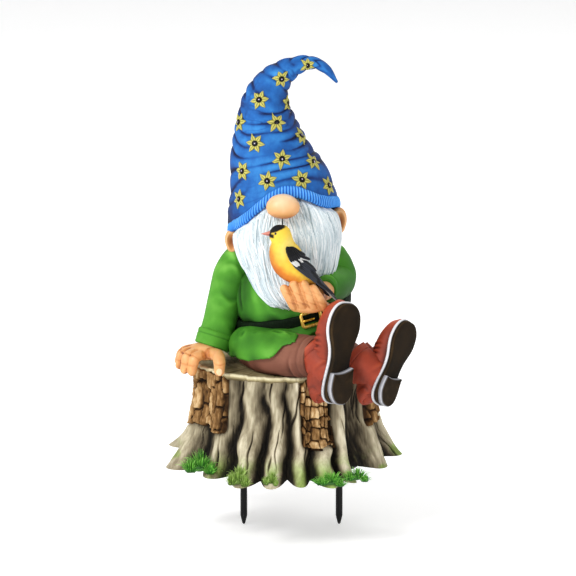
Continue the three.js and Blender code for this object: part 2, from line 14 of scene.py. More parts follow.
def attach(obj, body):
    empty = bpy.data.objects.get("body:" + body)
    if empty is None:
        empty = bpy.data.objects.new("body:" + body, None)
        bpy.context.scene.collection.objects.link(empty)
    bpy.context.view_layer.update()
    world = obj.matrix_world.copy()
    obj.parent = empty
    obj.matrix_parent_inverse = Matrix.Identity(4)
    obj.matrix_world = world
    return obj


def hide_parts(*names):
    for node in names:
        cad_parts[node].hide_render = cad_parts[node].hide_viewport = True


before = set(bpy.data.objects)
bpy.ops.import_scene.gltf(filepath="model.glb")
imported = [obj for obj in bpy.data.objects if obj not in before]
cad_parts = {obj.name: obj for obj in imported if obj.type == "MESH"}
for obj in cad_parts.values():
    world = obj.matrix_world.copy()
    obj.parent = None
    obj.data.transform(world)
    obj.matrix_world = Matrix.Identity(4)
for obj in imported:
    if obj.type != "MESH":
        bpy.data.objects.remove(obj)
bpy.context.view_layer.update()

MM = 0.001
BODY = "figure"
LATTICE = np.random.default_rng(7).random((32, 32, 32))


# ---------- numbers in space ----------
def vnoise(p, size, seed=0.0):
    """Smooth noise from -1 to 1 at points p, with cells of the given size (one number or three)."""
    q = np.asarray(p, float) / np.asarray(size, float) + seed * 7.31
    i = np.floor(q).astype(int)
    f = q - i
    f = f * f * (3 - 2 * f)
    a, b = i & 31, (i + 1) & 31
    x, y, z = f[..., 0], f[..., 1], f[..., 2]

    def row(v, w):
        return LATTICE[a[..., 0], v[..., 1], w[..., 2]] * (1 - x) + LATTICE[b[..., 0], v[..., 1], w[..., 2]] * x

    def layer(w):
        return row(a, w) * (1 - y) + row(b, w) * y

    return (layer(a) * (1 - z) + layer(b) * z) * 2 - 1


def fbm(p, size, octaves=3, seed=0.0):
    """Noise with finer and weaker octaves added to it."""
    total, amount = 0.0, 1.0
    size = np.asarray(size, float)
    for k in range(octaves):
        total = total + amount * vnoise(p, size / 2**k, seed + k)
        amount *= 0.5
    return total / 1.75


def smooth(x, a, b):
    """A soft step from 0 at a to 1 at b."""
    t = np.clip((x - a) / (b - a), 0, 1)
    return t * t * (3 - 2 * t)


def hump(x, width):
    return np.exp(-((x / width) ** 2))


def signed(angle):
    """The same angle, from -pi to pi."""
    return np.angle(np.exp(1j * angle))


def circle(n):
    """n even steps of angle round a full turn."""
    return np.linspace(0, 2 * math.pi, n, endpoint=False)


def polar(x, rx, ry, a, z):
    """Points on an ellipse round the upright line through x, at angle a and height z."""
    return np.stack([x + rx * np.cos(a), ry * np.sin(a), z + 0 * a], -1)


def looped(rows):
    """Rows with the first one again at the end."""
    return np.concatenate([rows, rows[:1]], 0)


def catmull(points, t):
    """A smooth curve through points, at shares t of its length in knots."""
    points = np.asarray(points, float)
    p = np.vstack([2 * points[0] - points[1], points, 2 * points[-1] - points[-2]])
    k = len(points) - 1
    x = np.clip(t, 0, 1) * k
    i = np.minimum(x.astype(int), k - 1)
    f = (x - i)[:, None]
    a, b, c, d = p[i], p[i + 1], p[i + 2], p[i + 3]
    return 0.5 * (2 * b + (c - a) * f + (2 * a - 5 * b + 4 * c - d) * f**2 + (3 * b - a - 3 * c + d) * f**3)


def unit(v):
    v = np.asarray(v, float)
    return v / np.maximum(np.linalg.norm(v, axis=-1, keepdims=True), 1e-9)


class Tube:
    """A closed round body through stations [x, y, z, half size along side, half size across it]."""

    def __init__(self, stations, side, sides=96, rings=120, dome=(0.0, 0.0), dome_rings=6):
        st = np.array([[*s, s[3]] if len(s) == 4 else s for s in stations], float)
        t = np.linspace(0, 1, rings)
        centre, size = catmull(st[:, :3], t), catmull(st[:, 3:5], t)
        along = unit(np.gradient(centre, axis=0))
        # Rounded ends: rings that shrink as they rise to the height of each dome.
        angle = (np.arange(1, dome_rings + 1) / (dome_rings + 0.5) * math.pi / 2)[:, None]
        first = centre[0] - along[0] * dome[0] * np.sin(angle)
        last = centre[-1] + along[-1] * dome[1] * np.sin(angle)
        self.centre = np.vstack([first[::-1], centre, last])
        self.size = np.vstack([(size[0] * np.cos(angle))[::-1], size, size[-1] * np.cos(angle)])
        along = np.vstack([np.repeat(along[:1], dome_rings, 0), along, np.repeat(along[-1:], dome_rings, 0)])
        side = np.asarray(side, float)
        u = unit(side - (along @ side)[:, None] * along)[:, None]
        w = np.cross(u, along[:, None])
        phi = circle(sides)
        cos, sin = np.cos(phi)[None, :, None], np.sin(phi)[None, :, None]
        across, up = self.size[:, None, :1], self.size[:, None, 1:]
        self.points = self.centre[:, None] + across * cos * u + up * sin * w
        self.out = unit(cos * u / np.maximum(across, 1e-3) + sin * w / np.maximum(up, 1e-3))
        step = np.linalg.norm(np.diff(self.centre, axis=0), axis=1)
        self.s = np.concatenate([[0], np.cumsum(step)])[:, None] + 0 * phi[None]
        self.phi = phi[None] + 0 * self.s
        self.shade = np.full(self.s.shape, 0.5)

    def push(self, amount, shade=0.0):
        self.points = self.points + amount[..., None] * self.out
        # The shade factor paints raised parts lighter and sunk parts darker: painted light and shade.
        self.shade = self.shade + amount * shade

    def data(self):
        return grid(self.points, self.shade)


def grid(points, shade, caps=True):
    """Vertices, faces and shades of a grid of rings, with a fan over each end."""
    rings, sides = points.shape[:2]
    verts = points.reshape(-1, 3)
    i, j = np.meshgrid(np.arange(rings - 1), np.arange(sides), indexing="ij")
    k = (j + 1) % sides
    faces = np.stack(
        [i * sides + j, i * sides + k, (i + 1) * sides + k, (i + 1) * sides + j], -1,
    ).reshape(-1, 4).tolist()
    tones = shade.reshape(-1)
    if caps:
        ends = [points[0].mean(0), points[-1].mean(0)]
        n = len(verts)
        verts = np.vstack([verts, ends])
        tones = np.concatenate([tones, [shade[0].mean(), shade[-1].mean()]])
        for a in range(sides):
            b = (a + 1) % sides
            faces.append([n, b, a])
            faces.append([n + 1, (rings - 1) * sides + a, (rings - 1) * sides + b])
    return verts, faces, tones


def merge(parts):
    """One set of vertices, faces and shades from several."""
    verts, faces, tones, n = [], [], [], 0
    for v, f, t in parts:
        verts.append(np.asarray(v, float))
        tones.append(np.asarray(t, float))
        faces.extend([[q + n for q in face] for face in f])
        n += len(v)
    return np.vstack(verts), faces, np.concatenate(tones)


def ball(at, radii, rings=24, sides=32):
    a = np.linspace(0.02, math.pi - 0.02, rings)[:, None]
    b = circle(sides)[None]
    p = np.stack([np.sin(a) * np.cos(b), np.sin(a) * np.sin(b), np.cos(a) + 0 * b], -1)
    return grid(p * np.asarray(radii) + np.asarray(at), np.full(p.shape[:2], 0.5))


# ---------- pieces ----------
def mesh_of(name, verts, faces):
    me = bpy.data.meshes.new(name)
    me.from_pydata([tuple(v) for v in np.asarray(verts) * MM], [], faces)
    bm = bmesh.new()
    bm.from_mesh(me)
    bmesh.ops.recalc_face_normals(bm, faces=bm.faces)
    bm.to_mesh(me)
    bm.free()
    return me


def piece(name, data, finish, stands_for=None, tint=None):
    """A painted piece of the figure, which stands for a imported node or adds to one."""
    verts, faces, tones = data
    me = mesh_of(name, verts, faces)
    me.shade_smooth()
    a = me.attributes.new("shade", "FLOAT", "POINT")
    a.data.foreach_set("value", np.clip(tones, 0, 1).astype(np.float32))
    if tint is not None:
        c = me.color_attributes.new("tint", "FLOAT_COLOR", "POINT")
        rgba = np.concatenate([np.clip(tint, 0, 1), np.ones((len(tint), 1))], 1)
        c.data.foreach_set("color", rgba.astype(np.float32).reshape(-1))
    me.materials.append(M[finish])
    ob = bpy.data.objects.new(name, me)
    bpy.context.scene.collection.objects.link(ob)
    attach(ob, BODY)
    if stands_for:
        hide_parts(stands_for)


def fused(parts, voxel, rounds, factor=0.6):
    """The skin round several closed bodies, as vertices and faces in mm."""
    verts, faces, _ = merge(parts)
    me = mesh_of("fuse", verts, faces)
    ob = bpy.data.objects.new("fuse", me)
    bpy.context.scene.collection.objects.link(ob)
    remesh = ob.modifiers.new("skin", "REMESH")
    remesh.mode = "VOXEL"
    remesh.voxel_size = voxel * MM
    soften = ob.modifiers.new("soften", "SMOOTH")
    soften.factor = factor
    soften.iterations = rounds
    done = bpy.data.meshes.new_from_object(ob.evaluated_get(bpy.context.evaluated_depsgraph_get()))
    v = np.zeros(len(done.vertices) * 3)
    done.vertices.foreach_get("co", v)
    f = [list(p.vertices) for p in done.polygons]
    bpy.data.objects.remove(ob)
    bpy.data.meshes.remove(me)
    bpy.data.meshes.remove(done)
    return v.reshape(-1, 3) / MM, f


def normals_of(verts, faces):
    tri = np.array([f[:3] for f in faces])
    n = np.cross(verts[tri[:, 1]] - verts[tri[:, 0]], verts[tri[:, 2]] - verts[tri[:, 0]])
    out = np.zeros_like(verts)
    for k in range(max(len(f) for f in faces)):
        rows = np.array([i for i, f in enumerate(faces) if len(f) > k])
        idx = np.array([faces[i][k] for i in rows])
        np.add.at(out, idx, n[rows])
    return unit(out)


def tree_of(verts, faces):
    return BVHTree.FromPolygons([tuple(v) for v in verts], faces)


# ---------- materials ----------
def node(nt, kind, sockets, **values):
    """A new node. A socket takes a plain value or the output of another node."""
    n = nt.nodes.new(kind)
    for key, value in values.items():
        setattr(n, key, value)
    for key, value in sockets.items():
        if isinstance(value, bpy.types.NodeSocket):
            nt.links.new(value, n.inputs[key])
        else:
            n.inputs[key].default_value = value
    return n


def noise_node(nt, source, size_mm, detail, stretch, rough=0.55):
    place = node(nt, "ShaderNodeMapping", {"Vector": source, "Scale": stretch}).outputs["Vector"]
    sockets = {"Vector": place, "Scale": 1 / (size_mm * MM), "Detail": detail, "Roughness": rough}
    return node(nt, "ShaderNodeTexNoise", sockets).outputs["Fac"]


def math_node(nt, op, a, b):
    return node(nt, "ShaderNodeMath", {0: a, 1: b}, operation=op).outputs[0]


def varied(nt, tone, noise, amount):
    """The tone, moved up and down by noise."""
    off = math_node(nt, "SUBTRACT", noise, 0.5)
    return math_node(nt, "ADD", tone, math_node(nt, "MULTIPLY", off, amount * 2))


def attribute(nt, name, output):
    return node(nt, "ShaderNodeAttribute", {}, attribute_name=name).outputs[output]


def rgb(r, g, b):
    """Linear values of a display colour given from 0 to 255."""
    return tuple(((c / 255 + 0.055) / 1.055) ** 2.4 if c > 10 else c / 255 / 12.92 for c in (r, g, b))


def ramp_of(nt, tone, stops):
    r = node(nt, "ShaderNodeValToRGB", {0: tone})
    e = r.color_ramp.elements
    while len(e) < len(stops):
        e.new(0.5)
    for el, (place, *colour) in zip(e, stops):
        el.position = place
        el.color = (*rgb(*colour), 1)
    return r.outputs[0]


def paint(name, stops, rough, mottle, bump, stretch=(1, 1, 1), weave=None, tint=False,
          metallic=0.0, coat=0.0, specular=0.5, shell=0.0, grain=None):
    """A painted finish. The vertex shade picks a tone from stops, and noise breaks it up."""
    ma = bpy.data.materials.new(name)
    ma.use_nodes = True
    nt = ma.node_tree
    nt.nodes.clear()
    place = node(nt, "ShaderNodeTexCoord", {}).outputs["Object"]
    blotch = noise_node(nt, place, mottle[0], 5.0, stretch)
    tone = varied(nt, attribute(nt, "shade", "Fac"), blotch, mottle[1])
    if grain:
        tone = varied(nt, tone, noise_node(nt, place, grain[0], 3.0, grain[2], 0.6), grain[1])
    colour = ramp_of(nt, tone, stops)
    if tint:
        sockets = {0: 1.0, 6: attribute(nt, "tint", "Color"), 7: colour}
        colour = node(nt, "ShaderNodeMix", sockets, data_type="RGBA", blend_type="MULTIPLY").outputs[2]
    spread = node(nt, "ShaderNodeMapRange", {"Value": blotch, "To Min": rough[0], "To Max": rough[1]})
    height = noise_node(nt, place, bump[0], 3.0, stretch)
    if weave:
        for direction in ("X", "Z"):
            sockets = {"Vector": place, "Scale": 0.31 / (weave * MM), "Distortion": 1.5}
            wave = node(nt, "ShaderNodeTexWave", sockets, bands_direction=direction).outputs["Fac"]
            height = math_node(nt, "ADD", height, math_node(nt, "MULTIPLY", wave, 0.5))
    relief = node(nt, "ShaderNodeBump", {"Strength": bump[1], "Distance": 0.6 * MM, "Height": height})
    surface = node(nt, "ShaderNodeBsdfPrincipled", {
        "Base Color": colour, "Roughness": spread.outputs[0], "Normal": relief.outputs[0],
        "Metallic": metallic, "Coat Weight": coat, "Specular IOR Level": specular,
    })
    if shell:
        surface.inputs["Subsurface Weight"].default_value = shell
        surface.inputs["Subsurface Radius"].default_value = (1.0, 0.35, 0.2)
        surface.inputs["Subsurface Scale"].default_value = 2 * MM
    node(nt, "ShaderNodeOutputMaterial", {0: surface.outputs[0]})
    return ma


# A finish: material, slot, tones as (place, red, green, blue), roughness from and to,
# mottle and bump as (size in mm, strength), and what else it has.
PAINTS = {
    "hat": (
        "hat_cloth", "hat_cloth", [(0.0, 5, 20, 54), (0.28, 13, 52, 116), (0.54, 28, 98, 176), (0.8, 58, 142, 214),
        (1, 112, 186, 238)], (0.65, 0.85), (7, 0.2), (0.9, 0.3), dict(weave=0.9, specular=0.3),
    ),
    "rib": (
        "hat_rib", "hat_rib", [(0, 10, 44, 112), (0.35, 32, 104, 204), (0.65, 66, 156, 242), (1, 140, 204, 255)],
        (0.6, 0.8), (4, 0.12), (0.6, 0.3), dict(weave=0.7, specular=0.3),
    ),
    "petal": (
        "flower_petal", "hat_cloth", [(0, 40, 46, 18), (0.4, 132, 128, 48), (0.75, 196, 188, 88), (1, 222, 214, 128)],
        (0.55, 0.7), (2, 0.15), (0.5, 0.2), dict(),
    ),
    "core": (
        "flower_core", "hat_cloth", [(0, 4, 4, 6), (0.6, 10, 10, 14), (0.8, 160, 150, 176), (1, 216, 206, 226)],
        (0.5, 0.6), (1, 0.03), (0.8, 0.25), dict(specular=0.2),
    ),
    "skin": (
        "skin_paint", "skin", [(0, 78, 30, 10), (0.25, 158, 84, 38), (0.5, 210, 138, 74), (0.75, 236, 176, 114),
        (1, 252, 216, 172)], (0.42, 0.55), (10, 0.09), (0.7, 0.06), dict(shell=0.1, coat=0.08),
    ),
    "hair": (
        "beard_paint", "hair", [(0, 116, 136, 146), (0.3, 176, 194, 202), (0.6, 216, 228, 233), (0.85, 238, 245, 248),
        (1, 252, 254, 255)], (0.5, 0.7), (14, 0.16), (0.7, 0.15), dict(),
    ),
    "tunic": (
        "tunic_cloth", "tunic_cloth", [(0, 12, 34, 6), (0.25, 28, 70, 14), (0.5, 52, 116, 26), (0.75, 80, 152, 42),
        (1, 126, 194, 78)], (0.6, 0.8), (16, 0.13), (0.9, 0.25), dict(weave=0.8, specular=0.25),
    ),
    "trouser": (
        "trouser_cloth", "trouser_cloth",
        [(0, 34, 16, 10), (0.3, 76, 42, 31), (0.6, 117, 71, 55), (0.85, 148, 98, 79),
        (1, 176, 126, 104)], (0.65, 0.85), (12, 0.12), (0.9, 0.25), dict(weave=0.8, specular=0.25),
    ),
    "belt": (
        "belt_leather", "belt_leather", [(0, 3, 8, 3), (0.5, 10, 25, 9), (0.8, 24, 46, 20), (1, 52, 78, 44)],
        (0.65, 0.8), (5, 0.14), (0.8, 0.2), dict(specular=0.1),
    ),
    "gold": (
        "buckle_gold", "buckle_gold", [(0, 150, 92, 10), (0.5, 240, 186, 44), (1, 255, 226, 120)], (0.2, 0.34),
        (5, 0.16), (0.9, 0.05), dict(metallic=0.6, coat=0.3),
    ),
    "boot": (
        "boot_leather", "boot_leather", [(0, 40, 10, 4), (0.25, 98, 32, 16), (0.5, 154, 56, 31), (0.75, 190, 84, 49),
        (1, 222, 130, 88)], (0.5, 0.68), (11, 0.14), (0.9, 0.14), dict(specular=0.35),
    ),
    "welt": (
        "boot_welt", "boot_welt", [(0, 70, 70, 72), (0.4, 150, 150, 154), (0.7, 222, 222, 226), (1, 250, 250, 252)],
        (0.35, 0.5), (6, 0.12), (0.6, 0.1), dict(),
    ),
    "sole": (
        "boot_sole", "boot_sole", [(0, 8, 6, 3), (0.4, 40, 29, 15), (0.7, 70, 52, 29), (1, 104, 80, 52)], (0.7, 0.9),
        (9, 0.24), (0.7, 0.35), dict(specular=0.15),
    ),
    "heel": (
        "boot_heel", "boot_heel", [(0, 60, 60, 64), (0.5, 138, 138, 144), (1, 204, 204, 210)], (0.4, 0.55), (5, 0.15),
        (0.6, 0.12), dict(),
    ),
    "wood": (
        "stump_wood", "stump_wood", [(0, 14, 11, 7), (0.18, 46, 39, 28), (0.4, 104, 94, 74), (0.62, 156, 145, 119),
        (0.82, 206, 196, 168), (1, 238, 231, 206)], (0.75, 0.95), (9, 0.12), (1.2, 0.7), dict(stretch=(1, 1, 0.35),
        tint=True, grain=(1.6, 0.17, (1, 1, 0.09)), specular=0.2),
    ),
    "cut": (
        "cut_wood", "cut_wood", [(0, 46, 38, 22), (0.35, 118, 104, 70), (0.6, 168, 154, 114), (0.85, 208, 197, 156),
        (1, 234, 226, 192)], (0.7, 0.9), (7, 0.15), (1.1, 0.5), dict(specular=0.2),
    ),
    "bark": (
        "bark_paint", "bark", [(0, 14, 8, 4), (0.3, 66, 44, 22), (0.55, 122, 88, 50), (0.8, 176, 138, 90),
        (1, 216, 186, 140)], (0.75, 0.95), (3.0, 0.22), (0.9, 0.9), dict(stretch=(1, 1, 0.5),
        grain=(0.9, 0.2, (1, 1, 0.15)), specular=0.15),
    ),
    "grass": (
        "grass_paint", "grass", [(0, 24, 66, 10), (0.35, 56, 138, 26), (0.65, 108, 196, 56), (1, 176, 236, 116)],
        (0.45, 0.6), (4, 0.1), (0.8, 0.1), dict(),
    ),
    "moss": (
        "moss_paint", "moss", [(0, 64, 82, 26), (0.35, 112, 150, 50), (0.65, 158, 198, 84), (1, 214, 232, 150)],
        (0.6, 0.8), (3, 0.16), (0.8, 0.2), dict(),
    ),
    "feather": (
        "bird_paint", "bird_feather", [(0, 179, 173, 170), (0.5, 255, 255, 255), (1, 255, 255, 255)], (0.55, 0.75),
        (3, 0.16), (0.6, 0.3), dict(tint=True, specular=0.25),
    ),
    "bill": (
        "bird_bill", "bird_bill", [(0, 120, 50, 40), (0.5, 206, 118, 98), (1, 240, 170, 150)], (0.3, 0.4), (3, 0.1),
        (0.5, 0.06), dict(),
    ),
    "eye": (
        "bird_eye", "bird_feather", [(0, 4, 4, 5), (1, 24, 20, 18)], (0.06, 0.12), (2, 0.1), (1, 0.0), dict(coat=0.8),
    ),
    "stake": (
        "stake_black", None, [(0, 3, 3, 4), (0.6, 9, 9, 10), (1, 26, 26, 29)], (0.32, 0.46), (6, 0.2), (1.4, 0.05),
        dict(specular=0.2),
    ),
    "zinc": (
        "zinc_steel", None, [(0, 90, 92, 96), (0.5, 150, 153, 158), (1, 196, 199, 204)], (0.25, 0.4), (3, 0.2),
        (0.8, 0.06), dict(metallic=0.9),
    ),
    "plate": (
        "plate_moulded", None, [(0, 18, 17, 15), (0.5, 44, 41, 38), (1, 70, 66, 60)], (0.6, 0.8), (7, 0.2),
        (0.7, 0.3), dict(),
    ),
}
M = {key: paint(name, *looks, **more) for key, (name, _, *looks, more) in PAINTS.items()}


def folds(tube, rows):
    """Crescent folds on a tube. A row is [arc position, angle, width along, angular width, height, sag]."""
    total = np.zeros(tube.s.shape)
    for s0, p0, width, spread, height, sag in rows:
        off = signed(tube.phi - p0)
        u = (tube.s - s0 - sag * off**2) / width
        side = hump(off, spread)
        total += height * side * (np.exp(-(u**2)) - 0.75 * hump(u + 1.5, 0.75))
    return total


# ---------- hat ----------
BRIM_X, BRIM_RX, BRIM_RY = -7, 48.5, 46


def brim_height(a):
    return 220.6 + 11.25 * np.cos(a) - 23 * np.sin(a) - 4.1 * np.cos(2 * a) - 4 * (1 - np.cos(4 * a))


def brim_point(a, share, height):
    return polar(BRIM_X, BRIM_RX * share, BRIM_RY * share, a, brim_height(a) + height)


HAT = [
    [-7.5, 226, 44, 47.5], [-10.2, 244, 42, 44.6], [-15.5, 261, 37, 38.4], [-19.6, 280.5, 31.5, 32],
    [-22, 300, 25.5, 25.4], [-22, 316, 21, 20.6], [-17.4, 330, 16.5, 16.2], [-7.8, 341, 11.8, 11.6],
    [5.5, 348.8, 8, 7.8], [19.5, 350.2, 5.4, 5.2], [30, 344.5, 4, 4], [38.4, 334, 1.3, 1.3],
]


def hat():
    t = Tube([[x, 0, z, d, w] for x, z, d, w in HAT], (0, 1, 0), 260, 330, (0, 1.2))
    # Angle as seen from above, for the foot that meets the wavy brim.
    a = np.arctan2(t.points[..., 1], t.points[..., 0] - t.centre[:, None, 0])
    foot = brim_point(a, 0.985, 1.5)
    length = t.s[-1, 0]
    blend = smooth(t.s / length, 0.0, 0.17)[..., None]
    t.points = foot * (1 - blend) + t.points * blend
    # Puffed segments with sharp creases between them, which wander and fade round the hat.
    ring = polar(0, 30, 30, t.phi, t.s * 0.9)
    turn = t.s / 10.2 + 0.85 * vnoise(ring, (34, 34, 26), 3) + 0.22 * np.cos(t.phi - 0.6)
    wave = np.abs(np.sin(math.pi * turn))
    sides = np.abs(np.sin(t.phi)) ** 4
    amount = np.clip(0.28 + 0.95 * vnoise(ring, (17, 17, 8), 6) + 0.6 * sides, 0.04, 1.0)
    ends = smooth(t.s, 6, 26) * (1 - smooth(t.s, length - 34, length - 8))
    fine = np.abs(vnoise(ring, (16, 16, 3.2), 12))
    wrinkle = hump(fine, 0.12) * smooth(vnoise(ring, (15, 15, 20), 14), -0.1, 0.5)
    t.push((2.1 * (wave**0.6 - 0.72) * amount - 0.3 * wrinkle + 0.5 * vnoise(ring, 13, 5)) * ends)
    # Painted light and shade: puff crests lighter, creases and wrinkles darker, and the right side, the foot by the
    # band and the left and right flanks darkened.
    t.shade = 0.56 + 0.26 * amount * (wave**0.7 - 0.5) - 0.4 * amount * hump(wave, 0.34) * ends
    t.shade -= 0.14 * wrinkle * ends + 0.1 * smooth(t.points[..., 0] - t.centre[:, None, 0], 6, 34)
    t.shade += 0.18 * vnoise(ring, (22, 22, 9), 5) - 0.14 * (1 - smooth(t.s, 0, 24)) - 0.24 * sides**3
    # Painted shade: the inside of the upper curl and the lower near side are darkened.
    turn_in, turn_out = np.clip(np.sin(t.phi), 0, 1), np.clip(-np.sin(t.phi), 0, 1)
    t.shade -= 0.26 * turn_in**2 * hump(t.s - 112, 32) + 0.2 * turn_out**1.5 * (1 - smooth(t.s, 6, 60))
    return t


HAT_TUBE = hat()
hat_data = HAT_TUBE.data()
piece("hat_shell", hat_data, "hat", "hat_cone")
HAT_TREE = tree_of(hat_data[0], hat_data[1])


# Along a petal: share of its radius, half width and lift.
PETAL = (
    (0.1, 0.07, 0.9), (0.28, 0.2, 1.0), (0.47, 0.29, 1.0), (0.66, 0.23, 0.9), (0.84, 0.12, 0.75), (1.0, 0.012, 0.5),
)
# Across its width: side, drop and tone.
PETAL_WIDTH = (
    (-1, 0.6, 0.1), (-0.72, 0.1, 0.66), (-0.3, 0.0, 0.86), (0, 0.25, 0.3), (0.3, 0.0, 0.82), (0.72, 0.1, 0.6),
    (1, 0.6, 0.05),
)
# The button's rings: share of the flower's radius, lift and tone.
BUTTON = (
    (0.31, 0.2, 0.1), (0.3, 1.2, 0.15), (0.22, 1.5, 0.2), (0.085, 1.6, 0.25), (0.06, 1.64, 0.9), (0.02, 1.66, 1.0),
)


def flower(at, face, radius, start):
    """A six-petal flower that lies on the hat, as raised petals and a dark button."""
    n = Vector(face).normalized()
    u = n.cross(Vector((0, 0.05, 1))).normalized()
    v = n.cross(u)
    petals = []

    def on_hat(x, y, lift):
        p = Vector(at) + u * x + v * y
        q, m, _, _ = HAT_TREE.find_nearest(p)
        m = m if m.dot(n) > 0 else -m
        return np.array(q + m * lift)

    for k in range(6):
        a = start + k * math.pi / 3
        rows = []
        for f, half, lift in PETAL:
            line = []
            for side, drop, tone in PETAL_WIDTH:
                x = radius * (f * math.cos(a) - half * side * math.sin(a))
                y = radius * (f * math.sin(a) + half * side * math.cos(a))
                line.append((on_hat(x, y, lift - drop), tone))
            rows.append(line)
        top = np.array([[p for p, _ in line] for line in rows])
        tone = np.array([[c for _, c in line] for line in rows])
        under = top - np.array(n) * 1.1
        ring = np.concatenate([top, under[:, ::-1]], 1)
        petals.append(grid(ring, np.concatenate([tone, tone[:, ::-1]], 1)))
    rings, tones = [], []
    for f, lift, c in BUTTON:
        rings.append([on_hat(radius * f * math.cos(b), radius * f * math.sin(b), lift) for b in circle(14)])
        tones.append([c] * 14)
    return petals, grid(np.array(rings), np.array(tones))


def flowers():
    front = [
        (13.8, 349.7, 6.0), (-8.6, 339.1, 7.0), (-27.5, 322.1, 7.4), (-0.5, 316.9, 6.6), (-12.9, 303.1, 7.6),
        (-44.6, 300.9, 7.4), (8.0, 288.9, 7.4), (-31.0, 286.1, 7.6), (-8.2, 273.9, 7.6), (18.4, 268.0, 7.6),
        (-41.7, 261.5, 7.6), (-20.6, 255.9, 7.6), (8.6, 256.1, 7.8), (31.4, 247.1, 7.6), (-44.3, 236.8, 7.6),
    ]
    spots = []
    for x, z, r in front:
        hit, n, _, _ = HAT_TREE.ray_cast(Vector((x, -200, z)), Vector((0, 1, 0)))
        if hit is None:
            hit, n, _, _ = HAT_TREE.find_nearest(Vector((x, -8, z)))
        spots.append((hit, n, r))
    # The same scatter carries on round the back.
    for x, z in (
        (-20, 336), (-30, 312), (-10, 314), (-25, 296), (-2, 290), (-38, 280), (-16, 278), (10, 270), (-34, 262),
        (-4, 258), (22, 252), (-40, 244), (-18, 240), (6, 238), (28, 230), (-36, 224), (-10, 222),
    ):
        hit, n, _, _ = HAT_TREE.ray_cast(Vector((x, 200, z)), Vector((0, -1, 0)))
        if hit is not None:
            spots.append((hit, n, 7.4))
    for y, z in ((19, 262), (15, 285), (24, 240)):
        for side in (-1, 1):
            hit, n, _, _ = HAT_TREE.ray_cast(Vector((200 * side, y, z + 4 * side)), Vector((-side, 0, 0)))
            if hit is not None and min((hit - s[0]).length for s in spots) > 15:
                spots.append((hit, n, 7.2))
    petals, cores = [], []
    for k, (hit, n, r) in enumerate(spots):
        centre = HAT_TUBE.centre[np.argmin(np.linalg.norm(HAT_TUBE.centre - np.array(hit), axis=1))]
        away = np.array(hit) - centre
        n = np.array(n)
        n = n if n @ away > 0 else -n
        a, b = flower(hit, unit(0.35 * n + 0.65 * unit(away)), r * 1.16, 0.5 + 0.37 * k)
        petals += a
        cores.append(b)
    piece("hat_flower_petals", merge(petals), "petal")
    piece("hat_flower_buttons", merge(cores), "core")


flowers()


def brim():
    """A ribbed knit band with a rolled edge."""
    ribs = 118
    a = circle(1040)[None]
    profile = np.array([
        (-4.6, 0.93), (-5.4, 0.965), (-5.0, 1.01), (-3.6, 1.035), (-1.6, 1.045), (0.6, 1.043), (2.6, 1.034),
        (4.2, 1.018), (5.0, 0.99), (4.8, 0.95), (2.0, 0.905), (-2.0, 0.905),
    ])
    h, share = profile[:, :1] + 0 * a, profile[:, 1:] + 0 * a
    a = a + 0 * h
    # The cloth hangs over the band at the two sides.
    share = share - 0.04 * np.abs(np.cos(a)) ** 3 - 0.02 * np.clip(-np.cos(a), 0, 1) ** 3
    rib = 0.5 + 0.5 * np.cos(ribs * a + 0.35 * np.sin(a * 9) + 0.05 * h)
    face = smooth(profile[:, 1:] + 0 * a, 0.94, 1.02)
    p = brim_point(a, share + face * (0.017 * rib - 0.008), h * (1 + 0.04 * np.sin(a * 7)) + 0.15 * np.sin(a * 23))
    # Painted light and shade: rib crests lighter, the grooves between them darker, and the upper half of the band
    # lighter.
    shade = 0.2 + 0.55 * rib * face + 0.1 * smooth(h, -4, 4) + 0.08 * vnoise(p, 9)
    piece("hat_rib_band", grid(looped(p), looped(shade), caps=False), "rib", "hat_brim")


brim()


# ---------- face ----------
def nose():
    v, f, t = ball((-7.3, -51, 236.6), (14.2, 11.2, 10.5), 48, 72)
    p = v - np.array((-7.3, -51, 236.6))
    drop = smooth(-p[:, 2], -6, 9)
    v[:, 0] += p[:, 0] * 0.05 * drop
    v[:, 1] -= 0.6 * drop
    v += unit(p) * (0.35 * vnoise(v, 9, 2))[:, None]
    # Painted light and shade: the top of the nose is lighter and its underside darker.
    tone = 0.86 + 0.02 * p[:, 2] - 0.01 * np.abs(p[:, 0]) - 0.34 * smooth(-p[:, 2], 4, 11)
    piece("nose_bulb", (v, f, tone), "skin", "nose")


def ear(name, at, radii, side, stands_for):
    v, f, _ = ball((0, 0, 0), (1, 1, 1), 60, 80)
    x, y, z = v[:, 0] * side, v[:, 1], v[:, 2]
    # The front of the ear is hollowed inside a raised rim.
    front = smooth(-y, 0.05, 0.5)
    radius = np.hypot(x * 1.05 - 0.05, z)
    hollow = hump(radius, 0.55) * front
    rim = hump(radius - 0.78, 0.16) * front
    q = np.stack([v[:, 0] * radii[0] * (1 + 0.1 * z), y * radii[1] + 2.6 * hollow - 1.1 * rim, z * radii[2]], -1)
    q[:, 2] += np.where(z < -0.6, -0.6, 0)
    # Painted light and shade: the raised rim is lighter, the hollow darker, and the top lighter.
    tone = 0.62 + 0.2 * rim - 0.42 * hollow + 0.06 * z
    piece(name, (q + np.array(at), f, tone), "skin", stands_for)


def head():
    v, f, _ = ball((-6, 3, 212), (40, 38, 42), 64, 96)
    # Painted light: the head is lighter towards the top.
    tone = 0.45 + 0.002 * (v[:, 2] - 212) + 0.05 * vnoise(v, 12)
    piece("head_core", (v, f, tone), "skin", "head")


nose()
ear("ear_outer_right", (-50.5, -6, 196.0), (6.6, 4.4, 10.2), -1, "ear_right")
ear("ear_outer_left", (40.6, -6, 213.6), (6.8, 4.4, 11.6), 1, "ear_left")
head()

BEARD = [
    [-6, -24, 246, 26, 17], [-6, -23, 234, 37, 23], [-5, -22, 218, 43.5, 26], [-3, -23, 200, 45, 27.5],
    [-1, -28, 180, 39.5, 24], [0, -35, 163, 31, 17], [7, -41.5, 152.5, 26, 10.5], [8.5, -43.5, 146.2, 18, 6.5],
]


